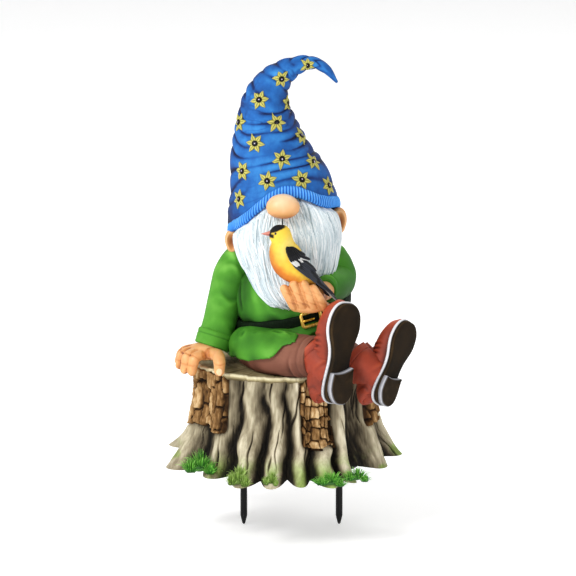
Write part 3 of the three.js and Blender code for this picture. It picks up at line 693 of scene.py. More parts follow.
def beard_skin(t, phi, lift):
    """Points over the beard at a share along it and an angle round it."""
    line, size = np.array(BEARD, float)[:, :3], np.array(BEARD, float)[:, 3:]
    c, r = catmull(line, t), catmull(size, t)
    ahead = np.minimum(t + 0.01, 1)
    d = unit(catmull(line, ahead) - catmull(line, ahead - 0.02))
    side = np.array([1.0, 0, 0])
    u = unit(side - (d @ side)[:, None] * d)
    w = np.cross(u, d)
    cos, sin = np.cos(phi)[:, None], np.sin(phi)[:, None]
    out = unit(cos * u / r[:, :1] + sin * w / r[:, 1:])
    return c + r[:, :1] * cos * u + r[:, 1:] * sin * w + lift[:, None] * out


def tuck(p, share):
    """Points above the lower edge of the hat's band are drawn in under it."""
    x, y = p[..., 0] - BRIM_X, p[..., 1]
    a = np.arctan2(y / BRIM_RY, x / BRIM_RX)
    now = np.hypot(x / BRIM_RX, y / BRIM_RY)
    inside = smooth(p[..., 2], brim_height(a) - 9.5, brim_height(a) - 4.5)
    pull = 1 - inside * np.clip(1 - share / np.maximum(now, 1e-6), 0, 1)
    return np.stack([BRIM_X + x * pull, y * pull, p[..., 2]], -1)


def rounded_end(p, slack=0.0):
    """Hair that would hang below the rounded end of the beard is gathered in above it."""
    low = 141.2 + slack + 0.0118 * (p[..., 0] - 10) ** 2
    u = p[..., 2] - low
    kept = np.where(u < 7, 7 * np.exp(np.minimum(u - 7, 0) / 7), u)
    q = p.copy()
    q[..., 2] = np.where(p[..., 1] < -18, low + kept, p[..., 2])
    return q


FLATNESS = 0.75


def strand(path, radius, tone):
    """A tapered lock of hair along a path of points."""
    n, sides = len(path), 4
    d = unit(np.gradient(path, axis=0))
    u = unit(np.cross(d, (0.2, -1, 0.1)))
    w = np.cross(u, d)
    k = np.linspace(0, 1, n)
    r = radius * np.sqrt(np.clip(np.minimum(1, (k + 0.04) / 0.18) * np.minimum(1, (1.02 - k) / 0.45), 0.002, 1))
    phi = circle(sides) + 0.4
    ring = np.cos(phi)[None, :, None] * u[:, None] + FLATNESS * np.sin(phi)[None, :, None] * w[:, None]
    p = path[:, None] + r[:, None, None] * ring
    return grid(p, np.full((n, sides), tone) + (0.14 * (0.5 - k))[:, None])


LOCKS, LOOSE_LOCKS, NAPE_LOCKS = 1240, 260, 420


def beard():
    t = Tube([[*s[:3], s[3] * 0.975, s[4] * 0.96] for s in BEARD], (1, 0, 0), 360, 160, (3, 1.5))
    wave = t.phi * 52 + 2.2 * np.sin(t.s / 21) + 2.5 * vnoise(t.points, 22, 4)
    lift = 0.55 * np.sin(wave) + 0.35 * np.sin(wave * 2.3 + 1) + 0.8 * vnoise(t.points, (7, 12, 30), 2)
    t.push(lift, 0.22)
    # Painted light and shade: raised waves are lighter and the hollows between them darker.
    t.shade = 0.42 + 0.26 * lift + 0.1 * vnoise(t.points, (10, 10, 40), 8)
    t.points = rounded_end(tuck(t.points, 0.85))
    r = np.random.default_rng(5)
    locks = []
    for k in range(LOCKS + LOOSE_LOCKS):
        loose = k >= LOCKS
        phi0 = -math.pi / 2 + (r.uniform(-1.5, 1.5) if not loose else r.uniform(-1.45, 1.2))
        t0 = r.uniform(0.02, 0.5) if not loose else r.uniform(0.35, 0.7)
        t1 = min(1.0, t0 + r.uniform(0.28, 0.6)) if not loose else min(1.0, t0 + r.uniform(0.2, 0.35))
        n = 12
        tt = np.linspace(t0, t1, n)
        # Hair leaves the middle of the face and sweeps out, then closes in towards the tip.
        sweep = 0.05 * np.sin((tt - t0) * 5) * np.sign(phi0 + math.pi / 2)
        phi = phi0 + sweep + 0.035 * np.sin(tt * r.uniform(8, 16) + r.uniform(0, 6))
        lift = r.uniform(0.1, 1.0) + 0.9 * np.sin(np.linspace(0, math.pi, n)) * r.uniform(0, 0.6)
        path = beard_skin(tt, phi, lift)
        if loose or t1 > 0.97:
            # Free ends run on past the surface and curl out a little.
            go = np.linspace(0, 1, n)[:, None] ** 2
            lean = np.array([path[-1, 0] * 0.045, -1.2, -1.5])
            path = path + go * lean * r.uniform(0.4, 1.1)
        path = rounded_end(tuck(path, 0.87), r.uniform(-2.4, 1.2))
        locks.append(strand(path, r.uniform(0.42, 0.85), np.clip(0.66 + 0.21 * r.standard_normal(), 0.15, 1.0)))
    # Hair wraps round behind the ears and over the nape.
    for _ in range(NAPE_LOCKS):
        a = r.uniform(0.05, math.pi - 0.05)
        top = brim_point(np.array([a]), 0.93, -4)[0]
        n = 9
        drop = r.uniform(16, 34) * (0.75 + 0.25 * math.sin(a))
        f = np.linspace(0, 1, n)[:, None]
        out = np.array([math.cos(a), math.sin(a), 0])
        path = top + f * np.array([0, 0, -drop]) + out * (1.5 + 1.6 * np.sin(f * math.pi * 0.9) - 5.5 * f**2)
        path[:, 0] += 0.8 * np.sin(f[:, 0] * r.uniform(3, 7) + r.uniform(0, 6))
        locks.append(strand(path, r.uniform(0.7, 1.2), np.clip(0.55 + 0.18 * r.standard_normal(), 0.15, 1.0)))
    piece("beard_mass", t.data(), "hair", "beard")
    piece("beard_locks", merge(locks), "hair")


beard()


# ---------- clothes ----------
def belt_height(x):
    return 134.4 + 0.235 * (x - 1.2)


def upper_light(n):
    """A soft painted light from the upper front."""
    return n @ unit([-0.35, -0.55, 0.75])


def crease(p, start, end, width, depth):
    """A groove with a raised lip beside it, along a line from start to end."""
    a, b = np.asarray(start, float), np.asarray(end, float)
    t = np.clip(((p - a) @ (b - a)) / ((b - a) @ (b - a)), 0, 1)
    near = a + t[:, None] * (b - a)
    d = np.linalg.norm(p - near, axis=1) / width
    taper = np.sin(math.pi * np.clip(t, 0.04, 0.96)) ** 0.5
    return depth * taper * (0.6 * hump(d - 1.5, 0.7) - np.exp(-(d**2)))


# Creases in the tunic: start, end, width and depth.
CHEST_CREASES = (
    ((-38, -34, 168), (-30, -44, 142), 2.6, 2.0), ((-30, -40, 172), (-16, -48, 145), 2.8, 1.6),
    ((-44, -16, 160), (-44, -24, 140), 2.6, 1.6), ((36, -34, 150), (22, -46, 142), 2.4, 1.4),
    ((-30, 34, 170), (-12, 42, 142), 3, 1.8), ((24, 34, 166), (10, 42, 146), 3, 1.8),
    ((0, 38, 172), (2, 44, 146), 3, 1.4),
)
SKIRT_CREASES = (
    ((-42, -40, 124), (-34, -54, 108), 2.4, 1.4), ((-30, -50, 124), (-10, -64, 119), 2.0, 1.5),
    ((-14, -56, 128), (-2, -68, 124), 1.8, 1.6), ((-10, -58, 124), (0, -66, 128), 1.6, 1.2),
    ((-48, -20, 122), (-48, -30, 104), 2.4, 1.4), ((-20, 42, 124), (-30, 44, 100), 3, 1.8),
    ((18, 42, 126), (26, 42, 100), 3, 1.8), ((46, 14, 130), (48, 20, 104), 3, 1.6),
)
# The skirt's hem: angle in degrees and height.
HEM = [
    (-180, 96), (-150, 99), (-125, 102), (-105, 106), (-85, 116), (-65, 126), (-40, 128), (-15, 116), (10, 102),
    (40, 93), (120, 93), (180, 96),
]


def tunic():
    body = Tube(
        [
            [1, -4, 121, 45.5, 41], [1.2, -4, 134, 48.5, 45], [-1, -3, 150, 48.5, 43], [-3, 0, 168, 43, 37],
            [-6, 3, 182, 30, 28], [-7, 4, 192, 21, 20],
        ],
        (1, 0, 0), 200, 160, (1, 2),
    )
    p = body.points
    pleat = np.sin(body.phi * 15 + 1.8 * vnoise(p, 18, 6) + 0.4 * np.sin(body.phi * 4))
    above = p[..., 2] - belt_height(p[..., 0])
    lift = hump(above, 13) * (0.9 * pleat) + 1.1 * vnoise(p, (14, 14, 26), 3) - 2.2 * hump(above, 5.2)
    flat = p.reshape(-1, 3)
    for row in CHEST_CREASES:
        lift = lift + crease(flat, *row).reshape(lift.shape)
    body.push(lift, 0.13)
    # Painted light from the upper front left.
    body.shade += 0.06 + 0.16 * (body.out @ unit([-0.4, -0.5, 0.76]))
    # Shadow is painted where the arms and the belt meet the chest.
    beside = np.abs(p[..., 0] + 2) + 0.2 * (p[..., 2] - 150)
    body.shade -= 0.22 * smooth(beside, 28, 44) + 0.2 * hump(above - 6, 6)
    piece("tunic_chest", body.data(), "tunic", "tunic_body")


def sway_at(v):
    """A small wave in height that the cut through the fold follows."""
    return np.array([0, 0, 1.0]) * (1.1 * np.sin(v[:, 0] / 5.5) + 0.8 * np.sin(v[:, 0] / 2.9 + 1))[:, None]


def above_plane(verts, faces, at, normal):
    """The part of a closed body above a plane, closed again along the cut."""
    me = mesh_of("cut", verts, faces)
    bm = bmesh.new()
    bm.from_mesh(me)
    geom = bm.verts[:] + bm.edges[:] + bm.faces[:]
    done = bmesh.ops.bisect_plane(
        bm, geom=geom, plane_co=Vector(at) * MM, plane_no=Vector(normal).normalized(), clear_inner=True,
    )
    rim = [g for g in done["geom_cut"] if isinstance(g, bmesh.types.BMEdge)]
    bmesh.ops.holes_fill(bm, edges=rim, sides=0)
    bmesh.ops.triangulate(bm, faces=bm.faces[:])
    bm.verts.index_update()
    v = np.array([q.co[:] for q in bm.verts]) / MM
    f = [[q.index for q in face.verts] for face in bm.faces]
    bm.free()
    bpy.data.meshes.remove(me)
    return v, f


def skirt():
    rings, sides = 34, 220
    t = np.linspace(0, 1, rings)[:, None]
    a = np.linspace(-math.pi, math.pi, sides, endpoint=False)[None] + 0 * t
    deg = np.degrees(a)
    hem = np.interp(deg, [h[0] for h in HEM], [h[1] for h in HEM])
    x = (-3 + 4.2 * t) + (55 - 6.5 * t) * np.cos(a)
    y = -4 + (52 - 7 * t) * np.sin(a)
    z = hem * (1 - t) + (belt_height(x) - 1) * t
    p = np.stack([x, y, z], -1)
    bell = grid(p, np.full(x.shape, 0.5))
    fold = Tube([
        [-36, -12, 106.5, 17, 17], [-30, -30, 107.5, 21, 23], [-14, -50, 108, 21, 24],
        [9, -66, 109.5, 19, 21], [19, -74, 109.5, 17.5, 18.5],
    ], (0, 0, 1), 96, 60, (1, 1))
    # Only the cloth above a slanting hem is kept.
    v, f, _ = fold.data()
    v, f = above_plane(v + sway_at(v), f, (0, 0, 143.5), (-0.662, -0.269, 1.0))
    v = v - sway_at(v)
    v, f = fused([bell, (v, f, np.full(len(v), 0.5))], 1.0, 3)
    n = normals_of(v, f)
    around = np.arctan2(v[:, 1] + 4, v[:, 0] + 2)
    below = belt_height(v[:, 0]) - v[:, 2]
    lift = smooth(below, 0, 26) * np.sin(around * 13 + 1.5 * vnoise(v, 20, 9)) + 0.7 * vnoise(v, 10, 12)
    for row in SKIRT_CREASES:
        lift += crease(v, *row)
    q = v + n * lift[:, None]
    below = belt_height(q[:, 0]) - q[:, 2]
    # Painted light and shade: darker just under the belt, raised folds lighter, and lit from the upper front.
    tone = 0.34 + 0.16 * smooth(below, 4, 15) + 0.16 * lift + 0.22 * upper_light(n) + 0.1 * vnoise(q, 25, 1)
    piece("tunic_lap", (q, f, tone), "tunic", "tunic_skirt")


def sleeve(name, stations, side, rows, stands_for):
    t = Tube(stations, side, 130, 200, (4, 1))
    lift = folds(t, rows) + 0.3 * vnoise(t.points, (14, 14, 30), 2)
    t.push(lift, 0.16)
    # Painted light from the upper front left.
    t.shade += 0.03 + 0.26 * (t.out @ unit([-0.6, -0.4, 0.6])) + 0.07 * vnoise(t.points, 20, 3)
    piece(name, t.data(), "tunic", stands_for)


def cuff():
    """A turned-up cuff with a seam groove near its edge."""
    c = np.array([[-64, -16.5, 118.5], [-64.9, -17.2, 116.2], [-68.2, -20, 106.5], [-68.6, -20.3, 105.4]])
    r = [13.6, 15.9, 15.4, 14.0]
    d = unit(c[2] - c[1])
    u = unit(np.array([1, 0, 0]) - d[0] * d)
    w = np.cross(u, d)
    f = np.linspace(0, 1, 60)
    centre = catmull(c, f)
    rad = np.interp(f, [0, 0.3, 0.7, 1], r)
    phi = circle(140)
    out = np.cos(phi)[None, :, None] * u + np.sin(phi)[None, :, None] * w
    p = centre[:, None] + rad[:, None, None] * out
    seam = -0.5 * hump(f - 0.74, 0.018) - 0.4 * hump(f - 0.42, 0.014)
    lift = seam[:, None] + 0.45 * vnoise(p, 9, 5)
    p = p + lift[..., None] * out
    # Painted light and shade: the seam grooves are darker and the side facing the upper front left is lighter.
    shade = 0.62 + 0.5 * seam[:, None] + 0.15 * (out @ unit([-0.4, -0.6, 0.6])) + 0.05 * vnoise(p, 8)
    piece("cuff_band", grid(p, shade), "tunic", "cuff_right")


def sleeves():
    right = [
        [-30, 6, 186, 9, 9], [-38.5, 4, 182, 14, 14], [-50, 0, 168, 15.5, 15], [-56.5, -5, 146, 15, 15],
        [-61.5, -12, 126, 14.5, 14.5], [-65, -17.5, 114, 14.6, 14.6],
    ]
    left = [
        [22, 6, 188, 8, 8], [29, 4, 183, 13, 13], [37.5, -2, 172, 15.5, 15.5], [39, -12, 162, 16, 15.5],
        [34.5, -34, 162, 13.2, 13], [28, -51, 163, 10.8, 10.8],
    ]
    r = np.random.default_rng(21)
    rows = [
        [12 + 11 * k + r.uniform(-3, 3), r.uniform(-3.1, 3.1), 4.2, 0.7, 0.45, 9 * r.uniform(-1, 1)] for k in range(8)
    ]
    rows += [[22, -2.2, 2.8, 0.5, 1.3, 12], [30, -1.6, 2.8, 0.45, 1.1, 12], [62, -1.2, 3.2, 0.6, 0.9, -14]]
    sleeve("sleeve_cloth_right", right, (1, 0, 0), rows, "sleeve_right")
    rows = [
        [10 + 8.5 * k + r.uniform(-2, 2), r.uniform(-3.1, 3.1), 3.4, 0.7, 0.7, 6 * r.uniform(-1, 1)]
        for k in range(10)
    ]
    rows += [[72, -2.2, 2.2, 0.7, 1.4, 3], [78, -1.4, 2.0, 0.7, 1.3, 3], [66, -2.8, 2.2, 0.6, 1.1, 4]]
    sleeve("sleeve_cloth_left", left, (1, 0.2, 0), rows, "sleeve_left")


def belt():
    a = circle(420)[None]
    profile = np.array([
        (-4.5, 0.93), (-4.7, 0.975), (-4.2, 0.997), (-3.2, 1.002), (0, 1.004), (3.2, 1.002), (4.2, 0.997),
        (4.7, 0.975), (4.5, 0.93),
    ])
    h, share = profile[:, :1] + 0 * a, profile[:, 1:] + 0 * a
    a = a + 0 * h
    x = 1.2 + 50 * share * np.cos(a)
    y = -3.5 + 47 * share * np.sin(a)
    z = belt_height(x) + h + 0.35 * np.sin(a * 5)
    p = np.stack([x, y, z], -1)
    stitch = hump(np.abs(h) - 3.2, 0.5) * (0.5 + 0.5 * np.sign(np.sin(a * 130)))
    shade = 0.34 + 0.3 * stitch + 0.2 * smooth(np.abs(h), 3.9, 4.4) + 0.12 * vnoise(p, 8)
    piece("belt_strap", grid(looped(p), looped(shade), caps=False), "belt", "belt")


def rounded(width, height, corner):
    """The outline of a rectangle with round corners."""
    pts, n = [], 8
    for cx, cy, a0 in ((1, -1, -90), (1, 1, 0), (-1, 1, 90), (-1, -1, 180)):
        for k in range(n + 1):
            a = math.radians(a0 + 90 * k / n)
            x, y = (width / 2 - corner) * cx, (height / 2 - corner) * cy
            pts.append((x + corner * math.cos(a), y + corner * math.sin(a)))
    return np.array(pts)


def buckle():
    x0 = 16.5
    share = (x0 - 1.2) / 50
    at = np.array([x0, -3.5 - 47 * math.sqrt(1 - share**2) - 0.6, belt_height(x0)])
    lean, turn = math.radians(13), math.radians(17)
    ex = np.array([math.cos(lean) * math.cos(turn), math.cos(lean) * math.sin(turn), math.sin(lean)])
    ez = np.array([-math.sin(lean) * math.cos(turn), -math.sin(lean) * math.sin(turn), math.cos(lean)])
    ey = np.cross(ez, ex)

    def stand(q):
        return at + q[..., :1] * ex + q[..., 1:2] * ez - q[..., 2:3] * ey

    middle = rounded(16.9, 12.0, 2.4)
    nx = unit(np.roll(middle, -1, 0) - np.roll(middle, 1, 0))
    out = np.stack([nx[:, 1], -nx[:, 0]], -1)
    rows, tones = [], []
    # Painted light and shade: the face of the wire away from the belt is lighter and the side towards it darker.
    for a in circle(14):
        off, up = 1.45 * math.cos(a), 1.3 + 1.25 * math.sin(a)
        rows.append(np.concatenate([middle + out * off, np.full((len(middle), 1), up)], 1))
        tones.append(np.full(len(middle), 0.5 + 0.35 * math.sin(a)))
    p = stand(np.array(rows))
    piece("buckle_ring", grid(looped(p), looped(np.array(tones)), caps=False), "gold", "buckle_frame")
    path = stand(np.array([[-7.6, 0, 2.3], [-6.8, 0, 3.2], [-4, 0, 3.5], [-1, 0, 3.4], [1.6, 0, 3.1], [2.4, 0, 2.8]]))
    t = Tube([[*q, r, r * 0.8] for q, r in zip(path, (0.9, 1.0, 0.85, 0.8, 0.75, 0.5))], ez, 18, 30, (0.4, 0.5), 4)
    t.shade[:] = 0.6
    piece("buckle_pin", t.data(), "gold", "buckle_prong")


tunic()
skirt()
cuff()
sleeves()
belt()
buckle()


def trousers():
    r = np.random.default_rng(4)
    legs = {
        "right": [
            [-36, -14, 104, 12, 13], [-30, -30, 106.5, 17.5, 19], [-14, -50, 107, 18.5, 20], [9, -66, 109.5, 18, 19],
            [21, -76, 110.5, 17.5, 18],
        ],
        "left": [
            [6, 4, 104, 12, 12], [13, -7, 107, 17, 17], [30, -32, 107, 18, 17.5], [50, -62, 103, 16, 15.5],
            [57, -73, 101, 14, 13.5],
        ],
    }
    for name, st in legs.items():
        t = Tube(st, (0, 0, 1), 150, 170, (3, 0.5))
        rows = [
            [18 + 8 * k + r.uniform(-2, 2), r.uniform(-3.1, 3.1), 3.6, 0.8, 0.55, 4 * r.uniform(-1, 1)]
            for k in range(8)
        ]
        rows += [
            [t.s[-1, 0] - 9, 2.2, 2.2, 1.1, 1.3, 2], [t.s[-1, 0] - 16, -2.4, 2.4, 0.9, 1.2, 3],
            [t.s[-1, 0] - 5, 0, 1.8, 3, 0.7, 0],
        ]
        t.push(folds(t, rows) + 0.5 * vnoise(t.points, 10, 7), 0.13)
        # Painted light from above and the front left.
        t.shade += 0.02 + 0.26 * (t.out @ unit([-0.3, -0.35, 0.85])) + 0.05 * vnoise(t.points, 18)
        piece(f"trouser_tube_{name}", t.data(), "trouser", f"trouser_leg_{name}")
    centre, radii, seat = np.array((-10, -8, 104.5)), np.array((44, 42, 16.5)), 90.6
    v, f, _ = ball(centre, radii, 60, 110)
    low = v[:, 2] < seat
    v[low, 2] = seat + (v[low, 2] - seat) * 0.02
    n = unit((v - centre) / radii**2)
    lift = 0.8 * vnoise(v, 12, 3) * smooth(v[:, 2], 90.7, 94)
    v = v + n * lift[:, None]
    # Painted light: raised folds lighter and lit from the upper front.
    tone = 0.42 + 0.12 * lift + 0.2 * upper_light(n)
    piece("trouser_bulk", (v, f, tone), "trouser", "trouser_seat")


trousers()


# ---------- boots ----------
# Place of the heel's tip, turn and tilt in degrees, and size.
BOOTS = {"right": ((37.5, -101.5, 76.6), 42, 11, 1.0), "left": ((76, -92, 73.5), 49, 33, 0.88)}
SOLE = [
    (0, 0), (5.5, 0.6), (9.6, 3.4), (12, 8), (12.5, 13.5), (12, 21), (11, 28), (10.2, 35), (10.5, 42), (12, 48.5),
    (14.6, 55), (16.6, 61.5), (17, 68), (15.4, 76), (11.4, 82.4), (6, 85.6), (0, 86), (-5.6, 85.4), (-10.8, 82),
    (-14.6, 76), (-16, 68), (-15.7, 61.5), (-13.9, 55), (-11.8, 48.5), (-10.5, 42), (-10.1, 35), (-10.8, 28),
    (-12, 21), (-12.5, 13.5), (-12, 8), (-9.6, 3.4), (-5.5, 0.6),
]


HEEL = [
    (-1, -0.4), (4.2, 0.9), (8.4, 4.8), (11.4, 10.2), (12.3, 15.6), (12.1, 21), (11.4, 25.6), (10.4, 26.3), (6, 26.4),
    (0, 27.4), (-6, 29.6), (-9.6, 31.3), (-10.8, 30.6), (-11.7, 24), (-12.6, 16), (-12.4, 9), (-10.2, 3.6), (-6, 0.3),
]
FOOT = [
    [0, 1.5, 15, 5, 7], [0, 5, 17, 10.5, 13], [0, 18, 19, 13, 16], [0, 36, 19, 13, 15.5], [0, 52, 16.5, 14.5, 13.5],
    [0, 66, 14.5, 15.8, 12], [0, 78, 12.5, 12.5, 9.5], [0, 85, 10.5, 5, 5],
]
SHAFTS = {
    "right": [
        [0, 19, 9, 11.5, 12.5], [0, 24, 15, 14, 14.6], [0, 29.5, 21, 16, 16.4], [0, 35.5, 29, 17.8, 17.6],
        [0, 36.9, 31.5, 17.8, 17.4],
    ],
    "left": [
        [0, 19, 9, 11.5, 12.5], [2.5, 24, 16, 14.5, 15.4], [6, 28.5, 24, 18, 18], [9.5, 32.5, 34, 20.5, 19.5],
        [10.5, 33.5, 38, 20.8, 19.8],
    ],
}
CREASE_SEEDS = {"right": 8, "left": 9}


def boot_frame(at, turn, tilt, size):
    """A function from boot coordinates (across, towards the toe, up from the sole) to the figure's."""
    a, b = math.radians(turn), math.radians(tilt)
    out = np.array([math.sin(a), -math.cos(a), 0])
    level = np.array([math.cos(a), math.sin(a), 0])
    toe = np.array([0, 0, 1]) * math.cos(b) + level * math.sin(b)
    up = -out
    across = np.cross(toe, up)

    def stand(q):
        q = np.asarray(q, float)
        return np.array(at) + size * (q[..., :1] * across + q[..., 1:2] * toe + q[..., 2:3] * up)

    return stand


def closed_curve(points, n):
    """n points on a smooth curve that runs through all the points and back to the first."""
    p = np.array(points, float)
    k = len(p)
    around = np.vstack([p[-2:], p, p[:3]])
    t = np.linspace(2 / (k + 4), (k + 2) / (k + 4), n, endpoint=False)
    return catmull(around, t)


def slab(outline, layers, tones):
    """Stacked copies of an outline. A layer is (grow, height), from the bottom up."""
    d = unit(np.roll(outline, -1, 0) - np.roll(outline, 1, 0))
    out = np.stack([d[:, 1], -d[:, 0]], -1)
    centre = outline.mean(0)
    grow, floor = layers[0]
    rows = [(centre + (outline + out * grow - centre) * f, floor, tones[0]) for f in (0.25, 0.55, 0.82)]
    rows += [(outline + out * grow, z, tone) for (grow, z), tone in zip(layers, tones)]
    points = np.array([np.column_stack([line, np.full(len(line), z)]) for line, z, _ in rows])
    return points, np.array([np.full(len(line), tone) for line, _, tone in rows])


def boots():
    sole_line = closed_curve(SOLE, 260)
    heel_line = closed_curve(HEEL, 170)
    for name, spec in BOOTS.items():
        stand = boot_frame(*spec)
        # Painted light and shade: the sole's edge is lighter at mid-height and darker at its top and bottom. The sole
        # is also darker across its waist.
        rows, shade = slab(
            sole_line, [(-1.8, -0.35), (-0.9, -0.1), (-0.2, 0.5), (0, 1.4), (0, 3.7)], [0.32, 0.42, 0.6, 0.45, 0.3],
        )
        shade = shade + 0.12 * vnoise(rows, (9, 14, 9), 4) - 0.18 * hump(rows[..., 1] - 34, 9)
        piece(f"boot_tread_{name}", grid(stand(rows), shade), "sole", f"boot_{name}_sole")
        rows, shade = slab(
            heel_line, [(-1.4, -5.0), (-0.4, -4.6), (0, -4.0), (0.1, -2.2), (0.2, -0.2)], [0.1, 0.12, 0.85, 0.6, 0.4],
        )
        piece(f"boot_block_{name}", grid(stand(rows), shade), "heel", f"boot_{name}_heel")
        cap_rows, cap_shade = slab(heel_line, [(-1.7, -5.35), (-1.0, -5.2), (-0.9, -4.5)], [0.34, 0.55, 0.4])
        cap_shade = cap_shade + 0.12 * vnoise(cap_rows, 7, 3)
        piece(f"boot_heel_tip_{name}", grid(stand(cap_rows), cap_shade), "sole")
        rows, shade = slab(
            sole_line, [(0.0, 3.4), (0.6, 3.6), (1.0, 4.3), (1.05, 5.3), (0.8, 6.2), (0.0, 6.8)],
            [0.5, 0.7, 0.85, 0.85, 0.72, 0.4],
        )
        shade -= 0.26 * (1 - smooth(rows[..., 1], 12, 58))
        k = np.arange(rows.shape[1])
        notch = (np.sin(k * 2 * math.pi * 65 / rows.shape[1]) > 0.2) * 1.0
        shade[-3:] -= 0.16 * notch
        rows[-2, :, 2] += 0.25 * notch
        piece(f"boot_rand_{name}", grid(stand(rows), shade), "welt", f"boot_{name}_welt")
        foot(name, stand)
        shaft(name, stand)


def foot(name, stand):
    t = Tube(FOOT, (1, 0, 0), 160, 150, (2.5, 2.0))
    low = t.points[..., 2] < 6.8
    t.points[..., 2] = np.where(low, 6.8 + (t.points[..., 2] - 6.8) * 0.02, t.points[..., 2])
    p = t.points.reshape(-1, 3)
    lift = 0.35 * vnoise(p, 12, 3)
    up = smooth(p[:, 2], 7, 11)
    # Walking creases across the vamp, and a toe cap seam.
    for y0, z0, dep in ((47, 20, 1.2), (42.5, 22, 1.5), (38, 24, 1.3), (51.5, 19, 0.8)):
        bend = p[:, 1] - y0 - 0.02 * p[:, 0] ** 2
        lift += dep * (0.5 * hump(bend - 1.9, 1.2) - hump(bend, 0.9)) * smooth(p[:, 2], 12, z0)
    seam = np.abs(np.hypot(p[:, 0] * 0.9, (p[:, 1] - 20) * 0.75) - 13)
    lift -= 0.5 * hump(seam, 0.5) * smooth(p[:, 2], 9, 15) * (p[:, 1] < 22)
    v = p + t.out.reshape(-1, 3) * (lift * up)[:, None]
    t.points = v.reshape(t.points.shape)
    # Painted light and shade: the creases and the lower edge by the sole are darker and the toe is lighter.
    t.shade = (
        0.46 + 0.2 * lift + 0.05 * vnoise(p, 14, 6) - 0.25 * (1 - smooth(p[:, 2], 6.8, 12))
        + 0.16 * smooth(p[:, 1], 60, 80)
    ).reshape(t.shade.shape)
    v, f, s = t.data()
    piece(f"boot_vamp_{name}", (stand(v), f, s), "boot", f"boot_{name}_foot")


def shaft(name, stand):
    t = Tube(SHAFTS[name], (1, 0, 0), 180, 120, (0.5, 0.6), 3)
    r = np.random.default_rng(CREASE_SEEDS[name])
    rows = []
    for k in range(6):
        around = math.pi / 2 * (1 if k % 2 else -1) + r.uniform(-0.8, 0.8)
        rows.append([4 + 4.2 * k, around, 1.9, 0.9, 0.6, 1.6 * r.uniform(-1, 1)])
    end = t.s[-1, 0]
    lift = folds(t, rows) + 0.4 * vnoise(t.points, 9, 5)
    lift -= 0.55 * hump(t.s - end + 5.2, 0.45)
    lift += 0.9 * smooth(t.s, end - 4, end - 0.5)
    # Notches at the front of the rim, where the leather gathers.
    front = signed(t.phi + math.pi / 2)
    for off, dep in ((0.0, 2.0), (0.32, 1.2), (-0.3, 1.2)):
        lift -= dep * hump(front - off, 0.09) * smooth(t.s, end * 0.5, end)
        lift += 0.6 * dep * hump(front - off - 0.15, 0.1) * smooth(t.s, end * 0.5, end)
    t.push(lift, 0.17)
    # Painted shade: the very top of the shaft is darkened as the inside of the opening.
    t.shade += -0.03 + 0.08 * vnoise(t.points, 12, 8) - 0.3 * smooth(t.s, end - 1.2, end)
    v, f, s = t.data()
    piece(f"boot_leg_{name}", (stand(v), f, s), "boot", f"boot_{name}_shaft")


boots()


# ---------- hands ----------
def finger(points, radii):
    stations = [[*p, r] for p, r in zip(points, radii)]
    return Tube(stations, (0.3, 0.8, 0.2), 28, 40, (radii[0] * 0.8, radii[-1] * 0.95)).data()


def hand_piece(name, parts, stands_for, knuckles):
    v, f = fused(parts, 0.6, 3, 0.5)
    n = normals_of(v, f)
    lift = 0.12 * vnoise(v, 3, 3)
    for at, direction, width, depth in knuckles:
        d = (v - np.array(at)) @ unit(direction)
        near = np.linalg.norm(v - np.array(at), axis=1)
        lift -= depth * hump(d, width) * hump(near, 5.5)
    v = v + n * lift[:, None]
    # Painted shade: creases between fingers and the knuckle grooves are darker; short rays tell how open each point
    # is.
    tree = tree_of(v, f)
    open_share = np.zeros(len(v))
    probes = unit([
        [1, 0, 0], [-1, 0, 0], [0, -1, 0], [0, 1, 0], [0, 0, 1], [0, 0, -1], [1, -1, 0], [-1, -1, 0], [0, -1, 1],
        [0, -1, -1],
    ])
    for i in range(len(v)):
        free = count = 0
        for d in probes:
            if d @ n[i] > 0.15:
                count += 1
                hit = tree.ray_cast(Vector(v[i] + n[i] * 0.3), Vector(d), 7.0)
                free += hit[0] is None
        open_share[i] = free / max(count, 1)
    tone = -0.4 + 1.02 * open_share + 0.6 * lift + 0.1 * upper_light(n)
    piece(name, (v, f, tone), "skin", stands_for)


